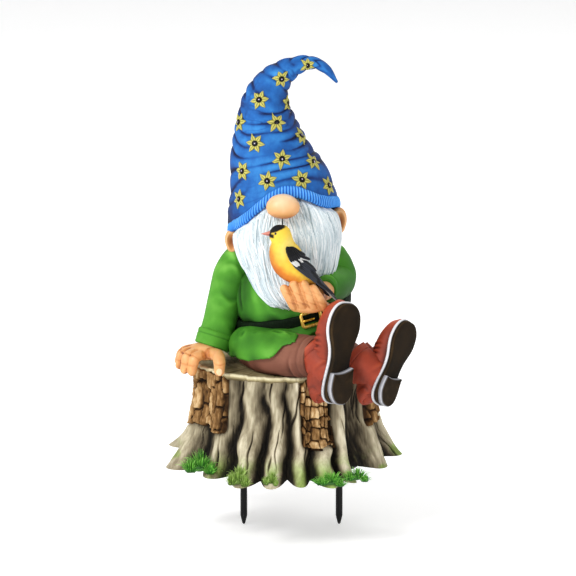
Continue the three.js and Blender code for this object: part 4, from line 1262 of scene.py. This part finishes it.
def hands():
    palm = ball((12, -68, 162.5), (16.5, 10.5, 12))
    wrist = Tube(
        [[16, -66, 163, 9.5, 9], [23, -59, 163, 9, 9], [30, -50, 163, 8, 8]], (0, 0, 1), 32, 30, (3, 3),
    ).data()
    heel = ball((14, -77, 155.5), (15.5, 7, 5.8))
    parts = [palm, wrist, heel]
    knuckles = []
    for x, top, r in ((-5.4, 169.5, 4.4), (2.8, 173, 4.9), (11.2, 173, 5.0), (19.0, 169.5, 4.5)):
        path = [[x + 10, -71, 153.5], [x + 7.8, -79, 156.5], [x + 4, -83, 164], [x - 0.8, -81, top + 2.6]]
        parts.append(finger(path, [r * 0.97, r, r * 0.98, r * 0.86]))
        knuckles.append(((x + 6, -85, 160.5), (0.4, 0, 1), 0.8, 0.3))
        knuckles.append(((x + 2.2, -87, 169), (0.4, 0, 1), 0.6, 0.2))
    hand_piece("hand_cupped", parts, "hand_left", knuckles)

    back = ball((-75, -27, 103.4), (14, 12.5, 7.6))
    wrist = Tube(
        [[-75, -26, 101, 9.5, 7.5], [-69, -21, 108, 9, 8.6], [-66.5, -17, 116, 9, 9]], (1, 0, 0), 32, 30, (2, 2),
    ).data()
    parts = [back, wrist]
    knuckles = []
    for path in (
        [[-75, -35, 103], [-82.5, -41.5, 100.5], [-85.2, -44.5, 89.5]],
        [[-79, -31, 104], [-88.4, -37.5, 101.5], [-91.6, -41, 90.5]],
        [[-81, -26, 104.5], [-92.4, -30.5, 101.5], [-95.8, -32.5, 92.3]],
        [[-81, -20, 104.5], [-92.6, -22.5, 101.5], [-96.6, -23.5, 94]],
    ):
        parts.append(finger(path, [4.4, 4.7, 3.9]))
        root, bend, tip = np.array(path)
        knuckles.append((bend + (-2.5, -1.5, 3), tip - root, 0.7, 0.45))
        knuckles.append((bend * 0.45 + tip * 0.55 + (-3, -1.5, 1), (0, 0, 1), 0.6, 0.35))
    thumb = [[-68, -33, 102.5], [-63, -46, 104], [-61.6, -56, 101], [-61.6, -59.5, 94]]
    parts.append(finger(thumb, [5.4, 5.6, 5.2, 4.5]))
    knuckles.append(((-61.6, -62.5, 100), (0, -0.3, 1), 0.7, 0.4))
    hand_piece("hand_gripping", parts, "hand_right", knuckles)
    nail = ball((-61.6, -63.7, 94.4), (2.6, 1.0, 3.1), 14, 20)
    piece("thumb_nail", (nail[0], nail[1], np.full(len(nail[0]), 0.95)), "skin")


hands()

# ---------- goldfinch ----------
BY = -73
BLACK, YELLOW, SHADE_ORANGE, WHITE, SHADE_RUST, SHADE_EMBER, HIGHLIGHT_STRAW, SLATE, SOOT, ASH, GREY = (np.array(rgb(*c)) for c in (
    (9, 9, 11), (246, 206, 70), (226, 132, 44), (238, 238, 236), (178, 82, 26), (206, 104, 34), (255, 238, 140),
    (70, 74, 84), (20, 20, 24), (46, 48, 56), (60, 62, 68),
))
TRUNK = np.array([
    [-9, 0, 221.5, 4.5], [-9, 0, 217.5, 8.6], [-7.8, 0, 211, 9.6], [-6.4, 0, 203, 13],
    [-2, 0, 192.5, 14.2], [6.5, 0, 183.5, 11], [15, 1, 178, 6.5], [20, 2, 175.5, 3],
])


def bird_body():
    trunk = Tube(TRUNK + np.array([0, BY, 0, 0]), (0, 1, 0), 80, 90, (2, 1)).data()
    v, f = fused([trunk, ball((-9.6, BY, 217.0), (9.6, 8.8, 8.9))], 0.7, 6)
    n = normals_of(v, f)
    # Small overlapping feather tips.
    rows = np.sin((v[:, 2] * 0.82 - v[:, 0] * 0.35) * 2.1 + 2.4 * vnoise(v, 2.6, 3))
    lift = 0.22 * rows * vnoise(v, 3, 1) + 0.25 * vnoise(v, 6, 2)
    v = v + n * lift[:, None]
    x, y, z = v.T
    k = vnoise(v, 3.0, 4)
    # Painted light and shade: the lower left and the belly deepen to orange, the sides facing left and down to rust,
    # and the nape and back carry a pale painted highlight. The cap and lore are black plumage.
    low = smooth(-(x + 3) * 0.7 - (z - 197) * 0.45 + 3 * k, -3, 12) * smooth(212 - z, 0, 10)
    belly_shade = smooth(190 - z - 0.5 * x + 2.0 * k, 0, 9)
    edge = smooth(-n[:, 0] - 0.35 * n[:, 2], 0.45, 1.0) * smooth(214 - z, 0, 8)
    pale = np.exp(-(((x + 2 - 0.5 * (z - 210)) / 7) ** 2) - (((z - 210) / 9) ** 2)) * smooth(-y - 74, 0, 6)
    cap = smooth(z - 218.6 - 0.42 * (x + 19) + 0.8 * k, -0.4, 0.9) * smooth(-4.5 - x, -1, 2)
    lore = smooth(2.4 - np.abs(z - 217.2), 0, 1.4) * smooth(-14.6 - x, -0.6, 1.2)
    tint = np.tile(YELLOW, (len(v), 1))
    for colour, most, share in (
        (SHADE_ORANGE, 0.7, low), (SHADE_EMBER, 0.7, belly_shade), (SHADE_RUST, 0.55, edge), (HIGHLIGHT_STRAW, 0.6, pale),
        (BLACK, 1, np.clip(cap + lore, 0, 1)),
    ):
        share = share[:, None]
        tint = tint * (1 - most * share) + colour * most * share
    tone = 0.5 + 0.5 * lift + 0.16 * upper_light(n)
    piece("finch_plumage", (v, f, tone), "feather", "bird_body", tint)


def plume(root, tip, width, thick, out, curve=0.0, n=14):
    """A single feather: a thin blade with a raised shaft, from root to tip."""
    root, tip, out = (np.asarray(q, float) for q in (root, tip, out))
    d = unit(tip - root)
    side = unit(np.cross(d, out))
    up = np.cross(side, d)
    rows, edge = [], []
    for f in np.linspace(0, 1, n):
        w = width * min(1, (f + 0.06) / 0.3) ** 0.7 * (max(0.0, 1 - f**5)) ** 0.5 + 0.02
        c = root + (tip - root) * f + up * curve * f * (1 - f) * 4
        ring = []
        for s, h in ((-1, 0), (-0.55, 0.7), (0, 1.25), (0.55, 0.7), (1, 0), (0.5, -0.6), (-0.5, -0.6)):
            ring.append(c + side * w * s + up * thick * h)
            edge.append(abs(s) ** 2 if h >= 0 else 0.3)
        rows.append(ring)
    rows = np.array(rows)
    return grid(rows, 0.5 + 0 * rows[..., 0]), np.append(np.array(edge), [0, 0]), np.append(
        np.repeat(np.linspace(0, 1, n), 7), [0, 1],
    )


def feathers(name, specs, stands_for):
    parts, tints = [], []
    for root, tip, width, thick, out, base, rim, curve in specs:
        (v, f, t), edge, along = plume(root, tip, width, thick, out, curve)
        c = np.asarray(base)[None] * (1 - edge[:, None]) + np.asarray(rim)[None] * edge[:, None]
        white_tip = smooth(along, 0.82, 1.0)[:, None] * 0.35
        tints.append(c * (1 - white_tip) + (np.asarray(base) * 0.5 + np.asarray(rim) * 0.5) * white_tip)
        parts.append((v, f, t))
    v, f, t = merge(parts)
    piece(name, (v, f, t), "feather", stands_for, tint=np.vstack(tints))


def wing(side):
    """A folded wing that wraps the trunk: flight feathers, secondaries, barred coverts and the shoulder."""
    axis, girth = TRUNK[::-1, 0], TRUNK[::-1, 3]
    level = TRUNK[::-1, 2]

    def at(x, z, lift=0.0):
        if side > 0:
            x, z = x - 4, z - 2
        r = np.interp(z, level, girth) + 1.2 + lift
        across = x - np.interp(z, level, axis)
        deep = math.sqrt(max(r * r - across * across, (0.3 * r) ** 2))
        return np.array([x, BY + side * deep, z]), np.array([across / r, side * deep / r, 0.15])

    def feather(root, tip, width, thick, base, rim, curve):
        (p, _), (q, _) = at(*root), at(*tip)
        _, out = at((root[0] + tip[0]) / 2, (root[1] + tip[1]) / 2)
        return (p, q, width, thick, out, base, rim, curve)

    pale = (WHITE * 0.8, WHITE)
    specs = []
    for k in range(7):
        along = (3 + 1.2 * k, 193.5 + 0.4 * k, 0.2 * k), (37 - 1.9 * k, 164.5 + 2.0 * k, 0.15 * k)
        specs.append(feather(*along, 2.2, 0.3, BLACK, SLATE, 0.6))
    for k in range(7):
        along = (1.4 * k, 197 + 0.2 * k, 0.9 + 0.1 * k), (17 + 0.7 * k, 181 + 0.9 * k, 0.9 + 0.1 * k)
        specs.append(feather(*along, 2.3, 0.35, BLACK, SLATE, 0.7))
    for k in range(7):
        along = (-2 + 1.4 * k, 200 + 0.2 * k, 1.6), (5.2 + 1.8 * k, 192.8 + 0.65 * k, 1.7)
        specs.append(feather(*along, 1.5, 0.4, *((SOOT, ASH) if k in (2, 6) else pale), 0.6))
    for k in range(8):
        along = (-4.2 + 0.9 * k, 208.6 - 0.3 * k, 2.1), (0.5 + 1.65 * k, 196.8 + 0.5 * k, 2.3)
        specs.append(feather(*along, 1.9, 0.4, BLACK, ASH, 0.5))
    for k in range(7):
        along = (-4 + 0.5 * k, 210 - 0.1 * k, 2.4), (-2.6 + 1.6 * k, 202.5 + 0.3 * k, 2.7)
        specs.append(feather(*along, 1.6, 0.45, BLACK, SOOT, 0.4))
    name = "near" if side < 0 else "far"
    feathers(f"finch_wing_{name}", specs, f"bird_wing_{name}")


def goldfinch():
    bird_body()
    wing(-1)
    wing(1)
    specs = []
    for k in range(7):
        y = -73.2 + 0.6 * k
        rim = WHITE * 0.8 if k in (0, 6) else GREY
        root, tip = [17 + 0.2 * k, y, 182.5], [40.5 - 0.9 * abs(k - 2), y + 1.2, 157.2 + 0.8 * abs(k - 2)]
        specs.append((root, tip, 2.0, 0.32, (0.6, -0.5, 0.6), BLACK, rim, 0.5))
    feathers("finch_tail", specs, "bird_tail")
    upper = Tube(
        [
            [-16, BY, 218.8, 2.2, 1.7], [-19.4, BY, 218.7, 1.8, 1.4], [-22.6, BY, 218.3, 1.0, 0.8],
            [-25.6, BY, 217.8, 0.3, 0.25],
        ],
        (0, 1, 0), 24, 30, (1, 0.3), 3,
    )
    lower = Tube(
        [
            [-16, BY, 216.9, 1.9, 1.1], [-19.4, BY, 217.1, 1.5, 0.9], [-22, BY, 217.3, 0.8, 0.55],
            [-24.4, BY, 217.5, 0.25, 0.2],
        ],
        (0, 1, 0), 24, 30, (1, 0.3), 3,
    )
    upper.shade[:] = 0.62
    lower.shade[:] = 0.3
    piece("finch_bill", merge([upper.data(), lower.data()]), "bill", "bird_beak")
    eyes = [ball((-13.4, BY + s * 7.0, 219.6), (1.2, 1.0, 1.2), 16, 20) for s in (-1, 1)]
    piece("finch_eyes", merge(eyes), "eye")


goldfinch()

# ---------- stump ----------
STUMP_X, STUMP_RX, STUMP_RY, STUMP_TOP, LID_TOP = -6, 80, 71, 86.2, 90.3
ROOTS = [
    (-164, 106, 13), (-137, 92, 11), (-113, 103, 9), (-97, 99, 8), (-81, 94, 7), (-66, 104, 8), (-52, 99, 6),
    (-16, 92, 11),
    (10, 104, 10), (46, 99, 13), (86, 100, 14), (122, 98, 12), (154, 112, 9),
]


def stump_radius(a, z):
    h = z / STUMP_TOP
    rim = 1 / np.hypot(np.cos(a) / STUMP_RX, np.sin(a) / STUMP_RY)
    ridge, reach = 0 * a, 0 * a
    deg = np.degrees(a)
    for at, tip, width in ROOTS:
        off = (deg - at + 180) % 360 - 180
        share = hump(off, width)
        ridge = np.maximum(ridge, share)
        reach = np.maximum(reach, share * (tip - rim - 4))
    valley = 4 * (1 - ridge) * np.sin(math.pi * np.clip(h, 0, 1))
    return rim - 5 + 4 * ridge + reach * (1 - h) ** 3 + 5 * (1 - h) ** 2 - valley, ridge


def stump_point(a, z, out=0.0):
    r = stump_radius(a, z)[0] + out
    return polar(STUMP_X, r, r, a, z + 0 * r)


# Bark patches: name, from and to in degrees, low and high, seed, plate width and height.
BARK = [
    ("right", -184, -131, 34, 88, 3, 7.2, 22), ("front", -80, -55, 27, 88, 4, 5.6, 10),
    ("left", -25, 9, 36, 84, 5, 6.2, 12), ("back", 65, 113, 32, 84, 6, 7.0, 17),
]


def blur(v, size):
    """v smoothed round its second axis, which closes on itself."""
    k = np.fft.fftfreq(v.shape[1]) * 2 * math.pi
    return np.fft.ifft(np.fft.fft(v, axis=1) * np.exp(-0.5 * (k * size) ** 2), axis=1).real


def stump():
    sides, rings = 840, 140
    a = np.linspace(-math.pi, math.pi, sides, endpoint=False)[None]
    # The lower edge lifts a little between the roots.
    edge = stump_radius(a, 0 * a)[1]
    low = 6.5 * (1 - edge) ** 2
    z = low + (STUMP_TOP - low) * (np.linspace(0, 1, rings) ** 1.25)[:, None]
    a = a + 0 * z
    flat = polar(0, 80, 80, a, z)
    bed = 0 * z
    for _, lo, hi, floor_z, *_ in BARK:
        off = np.abs((np.degrees(a) - (lo + hi) / 2 + 180) % 360 - 180)
        bed = np.maximum(bed, smooth((hi - lo) / 2 - off, -1.0, 3.0) * smooth(z, floor_z - 1, floor_z + 7))
    # Between the bark patches the ridges wander a little on their way up.
    wander = 0.075 * vnoise(flat, (26, 26, 22), 31) * smooth(z, 8, 26) * (1 - smooth(z, 74, 86)) * (1 - bed)
    r, ridge = stump_radius(a + wander, z)
    twist = a + 0.05 * np.sin(z / 26 + 3 * a) + 0.03 * vnoise(flat, (24, 24, 34), 9)
    ring = polar(0, 80, 80, twist, z * 0.14)
    flute = fbm(ring, 11, 2, 3)
    fine = vnoise(ring * np.array([1, 1, 2.0]), 2.0, 11)
    knots = fbm(flat, (13, 13, 18), 3, 15)
    gap = 1 - ridge
    lift = 2.6 * flute + 0.4 * fine + 1.5 * knots - 3.2 * gap**2 * smooth(z, 4, 24) * (1 - 0.75 * smooth(z, 62, 84))
    # Long drying cracks.
    rnd = np.random.default_rng(17)
    crack = 0 * lift
    for _ in range(74):
        a0, z0, tall = rnd.uniform(-math.pi, math.pi), rnd.uniform(-6, 66), rnd.uniform(14, 52)
        bend, phase, width = rnd.uniform(0.01, 0.04), rnd.uniform(0, 6), rnd.uniform(0.35, 0.8)
        line = a0 + bend * np.sin(z / 14 + phase) + 0.006 * np.sin(z / 3.1 + phase)
        off = signed(twist - line) * 76
        share = np.clip((z - z0) / tall, 0, 1)
        crack = np.maximum(
            crack, hump(off, width * (0.25 + np.sin(math.pi * share))) * np.sin(math.pi * share) ** 0.6,
        )
    lift = lift - 1.9 * crack
    lift = lift * (1 - bed) - 3.4 * bed
    crack = np.maximum(crack, 0.75 * bed)
    lift *= smooth(z, -4, 7)
    lift -= 1.0 * smooth(z, 80, 86) * (0.5 + 0.5 * vnoise(flat, (5, 5, 50), 21))
    r = r + np.minimum(lift, 3.2)
    p = polar(STUMP_X, r, r, a, z)
    # Crests are bleached and hollows stay dark.
    # Painted light and shade: crests are lighter, hollows darker, and the cracks and the beds under the bark
    # darkened. Towards the foot the flank is darker, and near the top the ridges are lighter.
    crest = np.clip(r - blur(r, 9), -3.2, 2.4) + 0.55 * np.clip(r - blur(r, 26), -7, 4)
    shade = 0.44 + 0.085 * crest - 0.5 * crack + 0.08 * fine + 0.13 * knots
    shade -= 0.12 * (1 - smooth(z, 0, 14)) - 0.07 * smooth(z, 60, 84) * ridge
    shade -= 0.14 * smooth(fbm(flat, (20, 20, 30), 2, 41), 0.0, 0.45)
    # Green growth creeps up the feet of some roots.
    growth = smooth(vnoise(flat, (26, 26, 40), 43) + 0.5 * vnoise(flat, 5, 44), 0.0, 0.5) * (1 - smooth(z, 6, 26))
    tint = 1 - growth[..., None] * np.array([0.42, 0.1, 0.66])
    ends = np.ones((2, 3))
    piece(
        "stump_flank", grid(p, np.clip(shade, 0.03, 0.97)), "wood", "stump",
        tint=np.vstack([tint.reshape(-1, 3), ends]),
    )


def stump_lid():
    """The sawn face: rings, radial checks and a ragged pale lip."""
    sides = 600
    a = np.linspace(-math.pi, math.pi, sides, endpoint=False)
    edge = np.linalg.norm(stump_point(a, np.full(sides, STUMP_TOP))[:, :2] - np.array([STUMP_X, 0]), axis=1)
    rim = polar(0, 80, 80, a, 0 * a)
    jag = 1.6 * vnoise(rim, 5, 2) + 1.2 * vnoise(rim, 1.8, 4)
    rows, tones = [], []
    for dz, out, tone in (
        (-5.5, -1.6, 0.25), (-3.0, 0.3, 0.55), (-1.2, 1.3, 0.9), (0.0, 0.9, 0.95), (0.35, -0.6, 0.9),
    ):
        r = edge + out + jag
        rows.append(polar(STUMP_X, r, r, a, LID_TOP + dz + 0.25 * jag * (dz < -2)))
        tones.append(np.full(sides, tone))
    for share in np.linspace(0.975, 0.02, 46):
        r = edge * share + jag * share**6
        p = polar(STUMP_X, r, r, a, 0 * r)
        wob = 3.0 * vnoise(p, 26, 6)
        ring = np.sin((r + wob) * 1.25)
        check = hump(np.abs(vnoise(polar(0, 30, 30, a, 0 * r + 5), 5, 8)), 0.05) * smooth(share, 0.35, 0.9)
        dz = 0.14 * ring - 0.35 * check + 0.35 * vnoise(p, 8, 3)
        p[:, 2] = LID_TOP + dz - 0.3 + 0.25 * (share > 0.94)
        rows.append(p)
        # Painted shade: the radial checks are darker.
        tones.append(0.52 + 0.06 * ring - 0.18 * check + 0.12 * vnoise(p, 14, 9) + 0.12 * smooth(share, 0.9, 1))
    piece("stump_cut_face", grid(np.array(rows), np.array(tones)), "cut", "stump_top")


def bark(name, lo, hi, low, high, seed, wide, tall):
    """A ragged patch of rough bark: upright plates, with the gaps between them painted dark as shade."""
    r = np.random.default_rng(seed)
    span = math.radians(hi - lo) * 76
    cols, rows = int(span / 0.62), int((high - low) / 0.62)
    u, z = np.meshgrid(np.linspace(0, span, cols), np.linspace(low, high, rows))
    a = math.radians(lo) + u / 76
    flat = np.stack([u, z, 0 * u + seed * 9], -1)
    warp_u, warp_z = u + 1.6 * vnoise(flat, (6, 12, 6), 1), z + 1.8 * vnoise(flat, 6, 2)
    centres = []
    for i in range(-1, int(span / wide) + 2):
        shift = r.uniform(0, tall)
        for j in range(-1, int((high - low) / tall) + 2):
            cu = (i + 0.5 + r.uniform(-0.22, 0.22)) * wide
            cz = low + shift + (j + r.uniform(-0.35, 0.35)) * tall
            centres.append((cu, cz, r.uniform(1.8, 4.2), r.uniform(0.32, 0.86)))
    near = np.full(u.shape, 99.0)
    second = near.copy()
    height, tone = 0 * u, 0 * u
    for cu, cz, h, c in centres:
        d = (np.abs((warp_u - cu) / wide) ** 5 + np.abs((warp_z - cz) / tall) ** 5) ** 0.2
        first = d < near
        second = np.where(first, near, np.minimum(second, d))
        height, tone = np.where(first, h, height), np.where(first, c, tone)
        near = np.where(first, d, near)
    block = smooth(second - near, 0.02, 0.16)
    rough = fbm(flat, (2.0, 5, 3), 3, 4)
    lift = -1.6 + block * (height + 1.5 * rough + 0.6 * np.sin(warp_u * 2.2 + 2 * vnoise(flat, 6, 7)))
    border = np.minimum(np.minimum(u, span - u), np.minimum(z - low, (high + 8) - z))
    kept = smooth(border + 4.5 * vnoise(flat, 7, 5) - 2.5, 0, 2.6)
    lift = lift * kept - 3.4 * (1 - kept)
    # Painted shade: the gaps between plates and the ragged border of the patch are darkened; each plate keeps its own
    # tone.
    shade = (0.05 + block * (tone + 0.34 * rough)) * (0.3 + 0.7 * kept)
    face, under = stump_point(a, z, 0.6 + lift), stump_point(a[:, ::-1], z, -5.0)
    points = np.concatenate([face, under], 1)
    piece(f"bark_plates_{name}", grid(points, np.concatenate([shade, 0 * shade + 0.05], 1)), "bark", f"bark_{name}")


def blade(root, tip, width, sag, tone):
    n, sides = 7, 3
    f = np.linspace(0, 1, n)[:, None]
    path = root + (tip - root) * f + np.array([0, 0, 1]) * sag * (f * (1 - f) * 4)
    d = unit(np.gradient(path, axis=0))
    u = unit(np.cross(d, np.array([0.3, 0.2, 1.0])))
    w = np.cross(u, d)
    r = width * (1 - f**2 * 0.96)
    phi = circle(sides)
    p = (
        path[:, None]
        + r[:, None] * (np.cos(phi)[None, :, None] * u[:, None] + 0.45 * np.sin(phi)[None, :, None] * w[:, None])
    )
    # Painted shade: each blade is darker towards its root.
    shade = np.repeat(0.12 + (tone - 0.12) * np.minimum(1, f * 1.7), sides, 1)
    return grid(p, shade)


def tuft(name, at, radii, count, finish, seed, stands_for, spread=1.0, width=0.48):
    """Blades in three clumps that fan out from low crowns, upright in the middle and drooping at the rim."""
    r = np.random.default_rng(seed)
    at, radii = np.array(at, float), np.array(radii, float)
    # Painted shade: the crown under the blades is dark.
    v, f, _ = ball(at - np.array([0, 0, radii[2] * 0.4]), radii * np.array([0.36, 0.36, 0.24]), 12, 18)
    parts = [(v, f, np.full(len(v), 0.1))]
    clumps = radii * np.array([[-0.5, -0.1, -0.3], [0.1, 0.1, 0.0], [0.62, -0.2, -0.45]])
    for k in range(count):
        around, lean = r.uniform(0, 2 * math.pi), r.uniform(0, 1) ** 0.6
        middle, size = at + clumps[k % 3], radii * (0.72, 1.0, 0.6)[k % 3]
        side = np.array([math.cos(around), math.sin(around), 0]) * lean
        root = middle + size * (0.4 * side + np.array([0, 0, -0.5]))
        high = 0.98 * math.sqrt(1 - 0.8 * lean**2) * r.uniform(0.4, 1.12) - 0.55 * lean**2 * r.uniform(0.2, 1.2)
        tip = middle + size * (1.15 * side * r.uniform(0.4, 1.25) * spread + np.array([0, 0, high]))
        root[2], tip[2] = max(root[2], 0.8), max(tip[2], 0.6)
        parts.append(blade(
            root, tip, width * r.uniform(0.6, 1.2), size[2] * r.uniform(0.1, 0.4), r.uniform(0.3, 1.0),
        ))
    piece(name, merge(parts), finish, stands_for)


stump()
stump_lid()
for patch in BARK:
    bark(*patch)
tuft("grass_tuft_side", (-79, -59, 13), (15, 10, 12.6), 400, "grass", 31, "grass_side")
tuft("grass_tuft_front", (33, -92, 7.5), (13.5, 8, 8), 360, "grass", 32, "grass_front", 1.05)
tuft("grass_tuft_edge", (55, -78, 7.5), (12, 8, 7.6), 300, "grass", 33, "grass_front_left", 1.05)
tuft("moss_tuft_side", (-46, -92, 10), (10, 7, 11.5), 560, "moss", 34, "moss_front_right", 0.96, 0.4)
tuft("moss_tuft_front", (-18, -93, 8), (7, 7, 7.6), 460, "moss", 35, "moss_front", 0.96, 0.4)

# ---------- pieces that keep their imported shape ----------
KEPT = {
    "stake": ["stake_right", "stake_left"],
    "zinc": [
        "stake_socket_right", "stake_socket_left", "base_screw_1", "base_screw_2", "base_screw_3", "base_screw_4",
        "seat_bolt", "seat_insert", "neck_dowel", "bird_pin",
    ],
    "plate": ["base_plate"],
}
for key, names in KEPT.items():
    for n in names:
        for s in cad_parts[n].material_slots:
            s.material = M[key]


# ---------- floor, light and camera ----------
FLOOR_LEVEL = -0.0589
LIGHTS = (
    # name, place, size in metres, power
    ("key", (-1.15, -1.15, 1.45), 0.6, 25), ("fill", (1.3, -1.0, 0.7), 1.2, 2.4), ("back", (0.3, 1.3, 1.3), 1.0, 9),
)
LENS, DISTANCE, ELEVATION = 436, 6.0, math.radians(14)
AIM = Vector((-0.003, 0, 0.1524))


def studio():
    scene = bpy.context.scene
    scene.view_settings.view_transform = "Standard"
    scene.view_settings.look = "None"
    world = bpy.data.worlds.new("studio")
    scene.world = world
    world.use_nodes = True
    sky = world.node_tree.nodes["Background"]
    sky.inputs["Color"].default_value = (1, 1, 1, 1)
    sky.inputs["Strength"].default_value = 0.4
    # The floor runs flat for 8 m and then sweeps up into a wall all round.
    me = bpy.data.meshes.new("floor")
    turns, level, flat_run, bend_radius, wall_top = 96, FLOOR_LEVEL, 8, 5, 7
    bend = [
        (flat_run + bend_radius * math.sin(b), level + bend_radius * (1 - math.cos(b)))
        for b in np.linspace(0, math.pi / 2, 13)
    ] + [(flat_run + bend_radius, wall_top)]
    rim = [(r * math.cos(b), r * math.sin(b), z) for r, z in bend for b in circle(turns)]
    quads = [(i * turns + j, i * turns + (j + 1) % turns, (i + 1) * turns + (j + 1) % turns, (i + 1) * turns + j)
             for i in range(len(bend) - 1) for j in range(turns)]
    me.from_pydata(rim, [], [tuple(range(turns))] + quads)
    me.polygons.foreach_set("use_smooth", [False] + [True] * len(quads))
    ob = bpy.data.objects.new("floor", me)
    scene.collection.objects.link(ob)
    ma = bpy.data.materials.new("floor_paper")
    ma.use_nodes = True
    bs = ma.node_tree.nodes["Principled BSDF"]
    bs.inputs["Base Color"].default_value = (0.93, 0.93, 0.93, 1)
    bs.inputs["Roughness"].default_value = 0.9
    bs.inputs["Emission Color"].default_value = (1, 1, 1, 1)
    bs.inputs["Emission Strength"].default_value = 0.36
    me.materials.append(ma)
    for name, at, size, power in LIGHTS:
        light = bpy.data.lights.new(name, "AREA")
        light.energy, light.size = power, size
        o = bpy.data.objects.new(name, light)
        scene.collection.objects.link(o)
        o.location = at
        o.rotation_mode = "QUATERNION"
        o.rotation_quaternion = (Vector((0, 0, 0.16)) - Vector(at)).to_track_quat("-Z", "Y")
    cam = bpy.data.cameras.new("camera")
    cam.sensor_width, cam.lens = 36, LENS
    cam.clip_start, cam.clip_end = 0.1, 100
    o = bpy.data.objects.new("camera", cam)
    scene.collection.objects.link(o)
    back = Vector((0, -math.cos(ELEVATION), math.sin(ELEVATION)))
    o.location = AIM + back * DISTANCE
    o.rotation_mode = "QUATERNION"
    o.rotation_quaternion = (-back).to_track_quat("-Z", "Y")
    scene.camera = o


studio()
